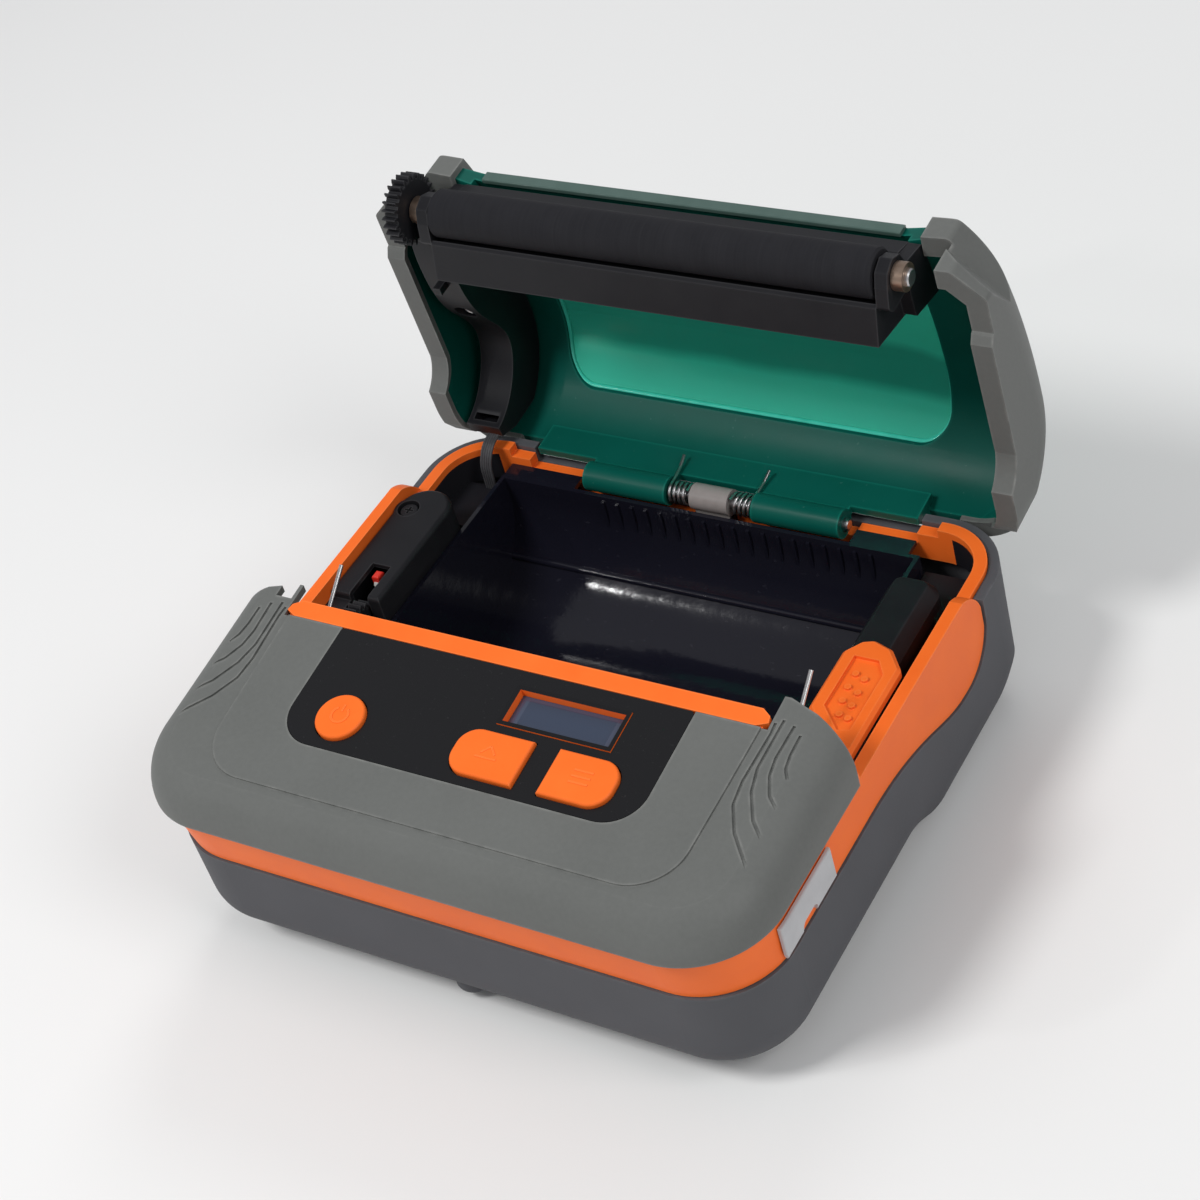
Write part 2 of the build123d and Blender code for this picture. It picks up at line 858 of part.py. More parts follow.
# Paper bay: black moulded trough that the label roll drops into
with BuildPart() as roll_bay:
    with BuildSketch(side(bay_left - bay_wall)):
        add(bay_profile(-bay_wall))
    extrude(amount=bay_right - bay_left + 2 * bay_wall)
    block(-58, 52.4, -20, 0.5, bay_top - 1.1, bay_top)
    with BuildSketch(side(bay_left)):
        add(bay_profile(0))
    extrude(amount=bay_right - bay_left, mode=Mode.SUBTRACT)
    block(-80, 80, -90, 20, bay_top, 40, mode=Mode.SUBTRACT)
    block(-pin_half - 1.4, pin_half + 1.4, -3.9, 10, -20, 40, mode=Mode.SUBTRACT)
    # fine upright ribs on the rear wall
    rib_count = int((50 + 29) / rib_pitch)
    with BuildSketch(deck(-19)):
        with Locations(*[(-29 + rib_pitch * i, roll_y + bay_radius) for i in range(rib_count)]):
            Rectangle(rib_width, 2 * rib_proud)
    extrude(amount=16)
    # ridge along the floor
    ridge = radians(ridge_angle)
    rod(bay_left, bay_right, roll_y + bay_radius * cos(ridge),
        roll_z + bay_radius * sin(ridge), 0.9)
roll_bay.part.label = "roll_bay"
export_step(roll_bay.part, "parts/roll_bay.step")

# Left side cover: black, over the gears, with a slot and a screw recess
with BuildPart() as gear_cover:
    with BuildSketch(deck(deck_level + 0.05)):
        with Locations(((-72.8 - 58.6) / 2, (block_front + block_rear) / 2)):
            Rectangle(72.8 - 58.6, block_rear - block_front)
        fillet(vertices().group_by(Axis.Y)[-1], radius=7.0)
    extrude(amount=block_top - deck_level - 0.05)
    fillet(gear_cover.faces().sort_by(Axis.Z)[-1].edges(), radius=1.2)
    with BuildSketch(deck(deck_level - 1)):
        with Locations(((-72.8 - 58.6) / 2, (block_front + block_rear) / 2)):
            Rectangle(72.8 - 58.6 - 2 * block_wall, block_rear - block_front - 2 * block_wall)
        fillet(vertices().group_by(Axis.Y)[-1], radius=7.0 - block_wall)
    extrude(amount=block_top - deck_level + 1 - block_wall, mode=Mode.SUBTRACT)
    block(-67.2, -62.0, block_front - 2, -47.5, -10, 20, mode=Mode.SUBTRACT)
    with BuildSketch(deck(block_top - block_wall - 2)):
        with Locations((-69.2, -28)):
            Circle(3.6)
    extrude(amount=block_wall + 2)
    with BuildSketch(deck(block_top)):
        with Locations((-69.2, -28)):
            Circle(2.8)
    extrude(amount=-2.2, mode=Mode.SUBTRACT)
    with BuildSketch(deck(-10)):
        with Locations((-69.2, -28)):
            Circle(1.1)
    extrude(amount=20, mode=Mode.SUBTRACT)
    # low front shelf that hides the gear train beside the rail
    block(-72.8, -67.3, -66.5, block_front + 0.5, 2.6, 3.8)
gear_cover.part.label = "gear_cover"
export_step(gear_cover.part, "parts/gear_cover.step")

# Right side cover: black, bevelled along the paper bay
with BuildPart() as side_cover:
    middle_x = (side_cover_left + side_cover_right) / 2
    middle_y = (side_cover_front + side_cover_rear) / 2
    with BuildSketch(deck(bay_top + 0.2)):
        with Locations((middle_x, middle_y)):
            Rectangle(side_cover_right - side_cover_left, side_cover_rear - side_cover_front)
        fillet(vertices().group_by(Axis.Y)[-1], radius=4.0)
        fillet(vertices().group_by(Axis.Y)[0].sort_by(Axis.X)[-1], radius=6.0)
    extrude(amount=side_cover_top - bay_top - 0.2)
    top = side_cover.faces().sort_by(Axis.Z)[-1].edges()
    chamfer(top.sort_by(Axis.X)[0], length=3.2, length2=2.2)
    fillet(side_cover.faces().sort_by(Axis.Z)[-1].edges(), radius=0.6)
    with BuildSketch(deck(bay_top)):
        with Locations((middle_x, middle_y)):
            Rectangle(
                side_cover_right - side_cover_left - 2 * block_wall,
                side_cover_rear - side_cover_front - 2 * block_wall,
            )
        fillet(vertices().group_by(Axis.Y)[-1], radius=2.8)
    extrude(amount=side_cover_top - bay_top - 3.4, mode=Mode.SUBTRACT)
    block(57.2, 58.8, -41, -20, deck_level, bay_top + 4.5)
    block(64.0, 65.6, -41, -20, deck_level, bay_top + 4.5)
side_cover.part.label = "side_cover"
export_step(side_cover.part, "parts/side_cover.step")

# Gap sensor: dark window in the front of the bay floor
with BuildPart() as gap_sensor:
    turn = radians(-118)
    seat = Plane(
        origin=(
            -20,
            hinge_setback + roll_y + (bay_radius - 0.35) * cos(turn),
            hinge_height + roll_z + (bay_radius - 0.35) * sin(turn),
        ),
        x_dir=(1, 0, 0),
        z_dir=(0, -cos(turn), -sin(turn)),
    )
    with BuildSketch(seat):
        Rectangle(9, 5)
        fillet(vertices(), radius=1.0)
    extrude(amount=1.0)
gap_sensor.part.label = "gap_sensor"
export_step(gap_sensor.part, "parts/gap_sensor.step")

# Tear bar: thin serrated steel strip along the lip
with BuildPart() as tear_bar:
    teeth = 92
    pitch = 110.0 / teeth
    points = [(-55.0, lip_width - 0.9)]
    for i in range(teeth):
        points.append((-55.0 + pitch * (i + 0.02), lip_width + 0.1))
        points.append((-55.0 + pitch * (i + 0.5), lip_width + 0.9))
    points.append((55.0, lip_width + 0.1))
    points.append((55.0, lip_width - 0.9))
    with BuildSketch(panel(-lip_thick - 0.45)):
        with BuildLine():
            Polyline(*points, close=True)
        make_face()
    extrude(amount=0.4)
tear_bar.part.label = "tear_bar"
export_step(tear_bar.part, "parts/tear_bar.step")

# Print head line: the nip faces the shut platen
nip_turn = radians(head_angle)
nip_y = platen_y + (platen_radius + body_gap) * cos(nip_turn)
nip_z = platen_z + (platen_radius + body_gap) * sin(nip_turn)


def head(depth):
    """Plane of the print head, depth behind its face, its own y up the face."""
    return Plane(
        origin=(
            0,
            hinge_setback + nip_y + depth * cos(nip_turn),
            hinge_height + nip_z + depth * sin(nip_turn),
        ),
        x_dir=(1, 0, 0),
        z_dir=(0, cos(nip_turn), sin(nip_turn)),
    )


# Thermal head: ceramic plate on an aluminium heat sink
with BuildPart() as thermal_head:
    with BuildSketch(head(0)):
        with Locations((0, -1.5)):
            Rectangle(head_width, head_length)
    extrude(amount=head_thick)
    fillet(
        thermal_head.edges().filter_by(Axis.X).sort_by(Axis.Z)[-1], radius=0.4
    )
thermal_head.part.label = "thermal_head"
export_step(thermal_head.part, "parts/thermal_head.step")
with BuildPart() as heat_sink:
    with BuildSketch(head(head_thick)):
        with Locations((0, -1.2)):
            Rectangle(head_width - 2, head_length - 1.4)
    extrude(amount=heatsink_thick)
    with BuildSketch(head(head_thick + heatsink_thick)):
        with Locations((0, -6), (0, -2), (0, 2)):
            Rectangle(head_width + 2, 1.6)
    extrude(amount=-1.6, mode=Mode.SUBTRACT)
heat_sink.part.label = "heat_sink"
export_step(heat_sink.part, "parts/heat_sink.step")
# Head bracket: folded steel, its cheeks notched for the platen bushes
with BuildPart() as head_bracket:
    with BuildSketch(head(8.2)):
        with Locations((0, 2.9)):
            Rectangle(2 * bracket_half - 0.4, 7.8)
    extrude(amount=bracket_thick)
    for s in (-1, 1):
        at = bracket_half - bracket_thick if s > 0 else -bracket_half
        with BuildSketch(side(at)):
            with BuildLine():
                Polyline(
                    (-91.6, 1.6),
                    (-88.6, 7.6),
                    (-83.0, 10.4),
                    (-79.2, 10.4),
                    (-79.2, -2.0),
                    (-69.4, -2.0),
                    (-69.4, 5.4),
                    (-67.6, 5.4),
                    (-67.6, -6.2),
                    (-81.0, -6.2),
                    (-84.2, -4.6),
                    close=True,
                )
            make_face()
            with Locations((-74.3, 1.2)):
                Rectangle(9.9, 6.6)
            with Locations((platen_y, platen_z)):
                Circle(bush_radius + body_gap, mode=Mode.SUBTRACT)
        extrude(amount=bracket_thick)
        limits = sorted((s * 59.7, s * (bracket_half - 0.6)))
        block(limits[0], limits[1], -82.0, -78.8, -6.2, -3.2)
        with BuildSketch(deck(-7)):
            with Locations((s * latch_x, -80.4)):
                Circle(latch_wire / 2 + 0.05)
        extrude(amount=6, mode=Mode.SUBTRACT)
head_bracket.part.label = "head_bracket"
export_step(head_bracket.part, "parts/head_bracket.step")

# Head spring: bent leaf between the heat sink and the bracket
with BuildPart() as head_spring:
    with BuildSketch(side(-40)):
        with BuildLine():
            reach = [
                (
                    nip_y + d * cos(nip_turn) - u * sin(nip_turn) * -1,
                    nip_z + d * sin(nip_turn) - u * cos(nip_turn),
                )
                for d, u in ((8.1, 5.2), (7.6, 5.2), (4.5, 1.2), (7.6, -0.4), (8.1, -0.4), (5.1, 1.2))
            ]
            Polyline(*reach, close=True)
        make_face()
    extrude(amount=80)
head_spring.part.label = "head_spring"
export_step(head_spring.part, "parts/head_spring.step")

# Latch wires: sprung steel wire at each end of the print unit
for s, name in ((-1, "latch_wire_left"), (1, "latch_wire_right")):
    with BuildPart() as latch_wire_part:
        with BuildLine(side(s * latch_x)) as route:
            FilletPolyline(
                (-80.4, -5.9),
                (-80.4, 9.4),
                (-76.4, 12.0),
                (-63.1, 21.3),
                radius=2.0,
            )
        with BuildSketch(Plane(origin=route.wire() @ 0, z_dir=route.wire() % 0)):
            Circle(latch_wire / 2)
        sweep()
    latch_wire_part.part.label = name
    export_step(latch_wire_part.part, "parts/" + name + ".step")


def gear_face(teeth, tooth_at):
    """Outline of a spur gear, one tooth pointing at the angle given in degrees."""
    pitch_radius = gear_module * teeth / 2
    base = pitch_radius * cos(radians(20))
    roll = tan(radians(20)) - radians(20)
    half = pi / (2 * teeth) - gear_backlash / (2 * pitch_radius)
    radii = (pitch_radius - 1.25 * gear_module, pitch_radius, pitch_radius + gear_module)
    flank = []
    for radius in radii:
        swell = 0.0
        if radius > base:
            angle = sqrt((radius / base) ** 2 - 1)
            swell = angle - atan2(angle, 1)
        flank.append((radius, half + roll - swell))
    points = []
    for i in range(teeth):
        middle = radians(tooth_at) + 2 * pi * i / teeth
        sweep_out = [(r, middle - a) for r, a in flank]
        sweep_in = [(r, middle + a) for r, a in reversed(flank)]
        points += [(r * cos(a), r * sin(a)) for r, a in sweep_out + sweep_in]
    with BuildSketch(Plane.XY, mode=Mode.PRIVATE) as shape:
        with BuildLine():
            Polyline(*points, close=True)
        make_face()
    return shape.sketch


def gear_disc(plane, at, teeth, tooth_at, face):
    """Gear as a solid standing on a plane, its middle at a point of the plane."""
    with BuildPart() as shape:
        with BuildSketch(plane):
            with Locations(at):
                add(gear_face(teeth, tooth_at))
        extrude(amount=-face)
    add(shape.part)


def gear_centre(start, angle, teeth_a, teeth_b):
    """Middle of a gear that meshes with another in the direction given."""
    reach = gear_module * (teeth_a + teeth_b) / 2
    turn = radians(angle)
    return (start[0] + reach * cos(turn), start[1] + reach * sin(turn))


platen_at = (platen_y, platen_z)
output_at = gear_centre(platen_at, output_angle, platen_teeth, output_teeth)
idler_at = gear_centre(output_at, idler_angle, output_teeth, idler_small_teeth)
pinion_at = gear_centre(idler_at, pinion_angle, idler_big_teeth, pinion_teeth)

# Output gear: white, drives the platen's gear while the lid is shut
with BuildPart() as output_gear:
    gear_disc(side(gear_plane_a), output_at, output_teeth, idler_angle, gear_face_width)
    rod(gear_plane_a, -60.0, output_at[0], output_at[1], 2.6)
    rod(-80, -50, output_at[0], output_at[1], gear_post_radius + running_gap,
        mode=Mode.SUBTRACT)
output_gear.part.label = "output_gear"
export_step(output_gear.part, "parts/output_gear.step")

# Idler gear: white double gear between the pinion and the output gear
with BuildPart() as idler_gear:
    small_tooth = idler_angle - 180 + 180 / idler_small_teeth
    gear_disc(side(gear_plane_a), idler_at, idler_small_teeth, small_tooth, gear_face_width)
    gear_disc(side(gear_plane_b), idler_at, idler_big_teeth, pinion_angle, gear_face_width)
    rod(gear_plane_b - 0.2, -60.0, idler_at[0], idler_at[1], 2.6)
    rod(-80, -50, idler_at[0], idler_at[1], gear_post_radius + running_gap,
        mode=Mode.SUBTRACT)
idler_gear.part.label = "idler_gear"
export_step(idler_gear.part, "parts/idler_gear.step")

# Motor pinion: brass, on the motor's shaft
with BuildPart() as motor_pinion:
    pinion_tooth = pinion_angle - 180 + 180 / pinion_teeth
    gear_disc(side(gear_plane_b), pinion_at, pinion_teeth, pinion_tooth, gear_face_width)
    rod(gear_plane_b - 0.2, -55.6, pinion_at[0], pinion_at[1], 1.0)
motor_pinion.part.label = "motor_pinion"
export_step(motor_pinion.part, "parts/motor_pinion.step")

# Motor: stepping motor behind the gear plate
with BuildPart() as motor:
    with BuildSketch(side(gear_plate_face + gear_plate_thick)):
        with Locations(pinion_at):
            Circle(motor_radius)
        with Locations((pinion_at[0], pinion_at[1])):
            with PolarLocations(motor_radius + 2, 2, start_angle=-30):
                Circle(3.2)
            with PolarLocations(motor_radius + 2, 2, start_angle=-30):
                Circle(1.3, mode=Mode.SUBTRACT)
    extrude(amount=1.0)
    with BuildSketch(side(gear_plate_face + gear_plate_thick + 1.0)):
        with Locations(pinion_at):
            Circle(motor_radius)
    extrude(amount=motor_length - 1)
    fillet(motor.faces().sort_by(Axis.X)[-1].edges(), radius=1.0)
    rod(gear_plate_face, -55.2, pinion_at[0], pinion_at[1], 1.0 + running_gap + 0.05,
        mode=Mode.SUBTRACT)
motor.part.label = "motor"
export_step(motor.part, "parts/motor.step")

# Gear plate: steel sheet that carries the motor and the gear posts
with BuildPart() as gear_plate:
    with BuildSketch(side(gear_plate_face)):
        with BuildLine():
            Polyline(
                (-105.4, -12.0),
                (-104.6, -4.6),
                (-71.0, -4.6),
                (-68.0, -1.6),
                (-59.4, -1.6),
                (-59.4, -7.0),
                (-66.0, -24.0),
                (-80.0, -28.0),
                (-98.0, -28.0),
                (-104.6, -20.0),
                close=True,
            )
        make_face()
        fillet(vertices(), radius=1.5)
        with Locations(pinion_at):
            Circle(4.0, mode=Mode.SUBTRACT)
            with PolarLocations(motor_radius + 2, 2, start_angle=-30):
                Circle(1.3, mode=Mode.SUBTRACT)
        with Locations(output_at, idler_at):
            Circle(gear_post_radius + 0.02, mode=Mode.SUBTRACT)
    extrude(amount=gear_plate_thick)
gear_plate.part.label = "gear_plate"
export_step(gear_plate.part, "parts/gear_plate.step")

# Gear posts: turned steel pins riveted into the gear plate
with BuildPart() as gear_posts:
    for at, far in ((output_at, -66.5), (idler_at, -71.5)):
        rod(far, gear_plate_face + gear_plate_thick + 0.2, at[0], at[1], gear_post_radius)
        rod(far - 0.5, far, at[0], at[1], gear_post_radius + 0.7)
gear_posts.part.label = "gear_posts"
export_step(gear_posts.part, "parts/gear_posts.step")

# Main board: circuit board over the battery, with its larger components
with BuildPart() as main_board:
    block(-30, 71, -117, -93.6, board_level, board_level + board_thick)
    block(-30, 66.5, -124, -116, board_level, board_level + board_thick)
    for x, y in ((-26, -120), (-26, -97.5), (60, -120.5), (55, -97.5)):
        with BuildSketch(deck(board_level - 1)):
            with Locations((x, y)):
                Circle(1.4)
        extrude(amount=4, mode=Mode.SUBTRACT)
    top = board_level + board_thick
    block(-14, -2, -116, -104, top, top + 1.6)
    block(8, 16, -118, -110, top, top + 1.2)
    block(22, 27, -116, -104, top, top + 5.0)
    block(36, 47, -112, -102, top, top + 3.0)
main_board.part.label = "main_board"
export_step(main_board.part, "parts/main_board.step")

# Sockets behind the port cover
with BuildPart() as usb_socket:
    block(64.6, 72.6, usb_y - 4.0, usb_y + 4.0, board_level + board_thick, 2.6)
    block(66.0, 73, usb_y - 3.4, usb_y + 3.4, board_level + board_thick + 0.6, 2.0,
          mode=Mode.SUBTRACT)
    block(65.0, 71.8, usb_y - 2.4, usb_y + 2.4, 0.3, 0.9)
usb_socket.part.label = "usb_socket"
export_step(usb_socket.part, "parts/usb_socket.step")
with BuildPart() as power_socket:
    block(60.6, 72.0, power_socket_y - 4.0, power_socket_y + 4.0, board_level + board_thick, 6.0)
    rod(62.5, 73, power_socket_y, 2.4, 2.9, mode=Mode.SUBTRACT)
    rod(62.0, 70.6, power_socket_y, 2.4, 1.0)
power_socket.part.label = "power_socket"
export_step(power_socket.part, "parts/power_socket.step")


def port_band(inset, low, high, rear, front):
    """Solid inside the band's outline grown by -inset, between two heights."""
    with BuildPart() as shape:
        with BuildSketch(deck(low)):
            outline(case_half - inset, case_front - 1.2 + inset, -60, front_corner - inset, 0)
        extrude(amount=high - low)
        inner = case_half - 6
        block(-200, inner, -200, 0, low - 1, high + 1, mode=Mode.SUBTRACT)
        block(inner - 10, 200, rear, 0, low - 1, high + 1, mode=Mode.SUBTRACT)
        block(inner - 10, 200, -200, front, low - 1, high + 1, mode=Mode.SUBTRACT)
    return shape.part


# Port cover: soft grey flap over the sockets, with a finger notch
with BuildPart() as port_cover:
    add(port_band(-port_proud - 0.35, port_low, port_high, port_rear, port_front))
    add(port_band(-0.35, port_low - 1, port_high + 1, -62, -190), mode=Mode.SUBTRACT)
    rims = port_cover.edges().filter_by(lambda e: e.center().X > case_half + port_proud)
    fillet(rims, radius=0.5)
    # round bead along the lower edge, on which the flap turns
    bead_end = (case_half + port_hinge_out, hinge_setback + port_front,
                hinge_height + port_low - port_hinge_drop)
    with BuildSketch(Plane(origin=bead_end, z_dir=(0, 1, 0))):
        Circle(port_bead_radius)
    extrude(amount=port_rear - port_front)
    with BuildSketch(side(case_half)):
        with Locations(((port_rear + port_front) / 2 - 1, port_low)):
            Rectangle(6.4, 3.6)
        fillet(vertices(), radius=1.4)
    extrude(amount=3, mode=Mode.SUBTRACT)
    with BuildPart(mode=Mode.PRIVATE) as plug:
        add(port_band(-0.45, port_low + 2.0, port_high - 1.9, port_rear - 2.4,
                      port_front + 2.9))
        add(port_band(1.6, port_low, port_high, -62, -190), mode=Mode.SUBTRACT)
    add(plug.part)
port_cover.part.label = "port_cover"
export_step(port_cover.part, "parts/port_cover.step")

# Battery: flat pack under the main board
with BuildPart() as battery:
    block(battery_x - battery_length / 2, battery_x + battery_length / 2,
          battery_rear - battery_width, battery_rear,
          front_underside + 3.0, front_underside + 3.0 + battery_height)
    fillet(battery.edges().filter_by(Axis.X), radius=2.4)
battery.part.label = "battery"
export_step(battery.part, "parts/battery.step")

# Battery door: hinged lid in the underside
with BuildPart() as battery_door:
    block(battery_x - door_half, battery_x + door_half, door_front, door_rear,
          front_underside, front_underside + door_thick)
    fillet(battery_door.edges().filter_by(Axis.Z).group_by(Axis.Y)[0], radius=1.0)
    rear_edges = battery_door.edges().filter_by(Axis.X).group_by(Axis.Y)[-1]
    fillet(rear_edges, radius=door_thick / 2 - 0.05)
battery_door.part.label = "battery_door"
export_step(battery_door.part, "parts/battery_door.step")

# Front feet: soft pads that level the shallow front with the bulge behind
with BuildPart() as front_feet:
    with BuildSketch(deck(-hinge_height)):
        with Locations((-58, case_front + foot_set_in), (58, case_front + foot_set_in)):
            Circle(foot_width / 2)
    extrude(amount=front_underside + hinge_height)
    fillet(front_feet.faces().group_by(Axis.Z)[0].edges(), radius=1.0)
front_feet.part.label = "front_feet"
export_step(front_feet.part, "parts/front_feet.step")
# Hinge knuckle: grey block on the saddle that grips the hinge pin
with BuildPart() as hinge_knuckle:
    rod(-knuckle_half, knuckle_half, 0, 0, knuckle_radius)
    block(-4.6, 4.6, -1.9, 1.9, -3.7, 0)
    rod(-10, 10, 0, 0, pin_radius + 0.02, mode=Mode.SUBTRACT)
hinge_knuckle.part.label = "hinge_knuckle"
export_step(hinge_knuckle.part, "parts/hinge_knuckle.step")

# Hinge pin: steel rod through the knuckle and the lid's barrels
with BuildPart() as hinge_pin:
    rod(-pin_half, pin_half, 0, 0, pin_radius)
    chamfer(hinge_pin.edges().filter_by(GeomType.CIRCLE), length=0.3)
hinge_pin.part.label = "hinge_pin"
export_step(hinge_pin.part, "parts/hinge_pin.step")


def lid_outline(grow):
    """Plan of the shut lid: front corners cut off, rear corners round."""
    with BuildSketch(Plane.XY, mode=Mode.PRIVATE) as shape:
        with BuildLine():
            Polyline(
                (-lid_half, 4.2),
                (-lid_half, -57.4),
                (-65.6, -73.0),
                (-60.0, -72.6),
                (-54.0, lid_front),
                (54.0, lid_front),
                (60.0, -72.6),
                (65.6, -73.0),
                (lid_half, -57.4),
                (lid_half, 4.2),
                close=True,
            )
        make_face()
        fillet(shape.vertices().group_by(Axis.Y)[-1], radius=15)
        fillet(shape.vertices().filter_by(lambda v: abs(v.Y + 57.4) < 0.01), radius=3)
        if grow:
            offset(amount=grow, kind=Kind.ARC)
    return shape.sketch


def lid_ears(form, grow):
    """Low front corners of the lid's sides, under a sloping facet, cut from its form."""
    inner = ear_from if grow > -1 else ear_from - 9
    across = Vector(164, -144, 192).normalized()
    level = Vector(lid_half, -57.4, ear_height)
    with BuildPart() as ears:
        add(form)
        with BuildSketch(lid_deck(-2)):
            with BuildSketch(Plane.XY, mode=Mode.PRIVATE) as plan:
                with BuildLine():
                    Polyline((-lid_half, -50), (-lid_half, -67.5), (6 - lid_half, -73.0),
                             (lid_half - 6, -73.0), (lid_half, -67.5), (lid_half, -50), close=True)
                make_face()
                if grow:
                    offset(amount=grow, kind=Kind.ARC)
                with Locations((0, -60)):
                    Rectangle(2 * inner, 60, mode=Mode.SUBTRACT)
            add(plan.sketch)
        extrude(amount=60, mode=Mode.INTERSECT)
        for s in (-1, 1):
            seat = Vector(s * level.X, level.Y, level.Z)
            out = Vector(s * across.X, across.Y, across.Z)
            seat = seat + out * grow
            turned = lid_deck(0)
            facet = Plane(origin=turned.from_local_coords(seat),
                          z_dir=turned.from_local_coords(seat + out) - turned.from_local_coords(seat))
            with BuildSketch(facet):
                Rectangle(400, 400)
            half_room = extrude(amount=200, mode=Mode.PRIVATE)
            with BuildPart(mode=Mode.PRIVATE) as side_room:
                add(half_room)
                limits = sorted((0, s * 200))
                lid_block(limits[0], limits[1], -200, 200, -200, 200, mode=Mode.INTERSECT)
            add(side_room.part, mode=Mode.SUBTRACT)
    return ears.part


def lid_form(grow, open_front=False):
    """The shut lid as a solid, grown all round, as it lies when carried open."""
    crown = 155.4
    peak = lid_arc_z + lid_arc_radius + grow
    front = -76.0
    drop = crown + grow - sqrt((crown + grow) ** 2 - (front - lid_arc_y) ** 2)
    middle = (front + lid_arc_y) / 2
    middle_drop = crown + grow - sqrt((crown + grow) ** 2 - (middle - lid_arc_y) ** 2)
    with BuildPart() as form:
        with BuildSketch(lid_side(0)):
            with BuildLine():
                radius = lid_arc_radius + grow
                corner = radians(45)
                Line((front, 0), (front, peak - drop))
                ThreePointArc((front, peak - drop), (middle, peak - middle_drop),
                              (lid_arc_y, peak))
                ThreePointArc(
                    (lid_arc_y, peak),
                    (lid_arc_y + radius * cos(corner), lid_arc_z + radius * sin(corner)),
                    (lid_arc_y + radius, lid_arc_z),
                )
                Line((lid_arc_y + radius, lid_arc_z), (lid_arc_y + radius, 0))
                Line((lid_arc_y + radius, 0), (front, 0))
            make_face()
        half = lid_half + grow
        extrude(amount=half, both=True)
        ends = form.edges().filter_by(GeomType.CIRCLE)
        fillet(ends.filter_by(lambda e: abs(abs(e.center().X) - half) < 0.01),
               radius=lid_edge_round + grow)
    with BuildPart() as body:
        add(form.part)
        with BuildSketch(lid_deck(-2)):
            add(lid_outline(grow))
            if open_front:
                with Locations((0, lid_front)):
                    Rectangle(112, 16)
        extrude(amount=60, mode=Mode.INTERSECT)
    return body.part + lid_ears(form.part, grow)


def lid_prism(sketch, low, high):
    """Solid of a sketch on the shut lid's level plane, carried open."""
    with BuildPart() as shape:
        with BuildSketch(lid_deck(low)):
            add(sketch)
        extrude(amount=high - low)
    return shape.part


def lid_block(x_from, x_to, y_from, y_to, z_from, z_to, mode=Mode.ADD):
    """Plain block given in the shut lid's places, carried open."""
    with BuildSketch(Plane.XY, mode=Mode.PRIVATE) as shape:
        with Locations(((x_from + x_to) / 2, (y_from + y_to) / 2)):
            Rectangle(x_to - x_from, y_to - y_from)
    add(lid_prism(shape.sketch, z_from, z_to), mode=mode)


def lid_rod(x_from, x_to, y, z, radius, mode=Mode.ADD):
    """Round bar along X given in the shut lid's places, carried open."""
    with BuildPart() as shape:
        with BuildSketch(lid_side(x_from)):
            with Locations((y, z)):
                Circle(radius)
        extrude(amount=x_to - x_from)
    add(shape.part, mode=mode)


def above_seam(raise_by):
    """Everything of the shut lid above its lower edge, the edge raised."""
    with BuildPart() as shape:
        with BuildSketch(lid_side(-100)):
            with BuildLine():
                Polyline(
                    (-90, 20.6 + raise_by),
                    (-66.0, 19.4 + raise_by),
                    (-63.0, 18.0 + raise_by),
                    (-58.6, 9.6 + raise_by),
                    (-56.6, lid_seam + raise_by),
                    (-24.2, lid_seam + raise_by),
                )
                ThreePointArc(
                    (-24.2, lid_seam + raise_by),
                    (-19.4, 6.1 + raise_by),
                    (-16.9, lid_rear_seam + raise_by),
                )
                Polyline(
                    (-16.9, lid_rear_seam + raise_by),
                    (-6.0, lid_rear_seam + raise_by),
                    (-2.8, 4.7 + raise_by),
                    (-1.9, 7.0 + raise_by),
                    (1.5, 8.5 + raise_by),
                    (12.0, 8.5 + raise_by),
                    (12.0, 60),
                    (-90, 60),
                    (-90, 20.6 + raise_by),
                )
            make_face()
        extrude(amount=200)
        for s in (-1, 1):
            limits = sorted((s * ear_from, s * 100))
            lid_block(limits[0], limits[1], -90, -56.6, ear_seam + raise_by, 60)
    return shape.part


def window_face(grow):
    """Outline of the lid window seen from above."""
    with BuildSketch(Plane.XY, mode=Mode.PRIVATE) as shape:
        with Locations((0, (window_front + window_rear) / 2)):
            Rectangle(2 * (window_half + grow), window_rear - window_front + 2 * grow)
        fillet(shape.vertices(), radius=window_corner + grow)
    return shape.sketch


lid_outside = lid_form(0)
lid_inside = lid_form(-skin, open_front=True)

# Lid shell: one moulding of clear dark green plastic, with the hinge barrels
with BuildPart() as lid_shell:
    add(lid_outside)
    add(lid_inside, mode=Mode.SUBTRACT)
    add(above_seam(1.5), mode=Mode.INTERSECT)
    # web down to the hinge, from the rear wall
    lid_block(-51.6, 51.6, -1.5, 0.6, 4.3, 12.5)
    lid_block(-51.6, 51.6, -1.5, 3.7, 7.2, 10.6)
    for s in (-1, 1):
        limits = sorted((s * barrel_inner, s * barrel_outer))
        lid_rod(limits[0], limits[1], 0, 0, barrel_radius)
        lid_block(limits[0], limits[1], -1.5, 0.6, 0, 5)
    add(lid_prism(window_face(0), 14, 60), mode=Mode.SUBTRACT)
    rebate = lid_prism(window_face(2.2), 14, 60) - lid_form(-1.2)
    add(rebate, mode=Mode.SUBTRACT)
    lid_rod(-60, 60, 0, 0, pin_radius + running_gap, mode=Mode.SUBTRACT)
lid_shell.part.label = "lid_shell"
export_step(lid_shell.part, "parts/lid_shell.step")

# Lid window: clear green pane let into the lid from outside
with BuildPart() as lid_window:
    add(lid_prism(window_face(2.2 - seat_gap), 14, 60))
    add(lid_outside, mode=Mode.INTERSECT)
    add(lid_form(-1.2 + 0.05), mode=Mode.SUBTRACT)
lid_window.part.label = "lid_window"
export_step(lid_window.part, "parts/lid_window.step")

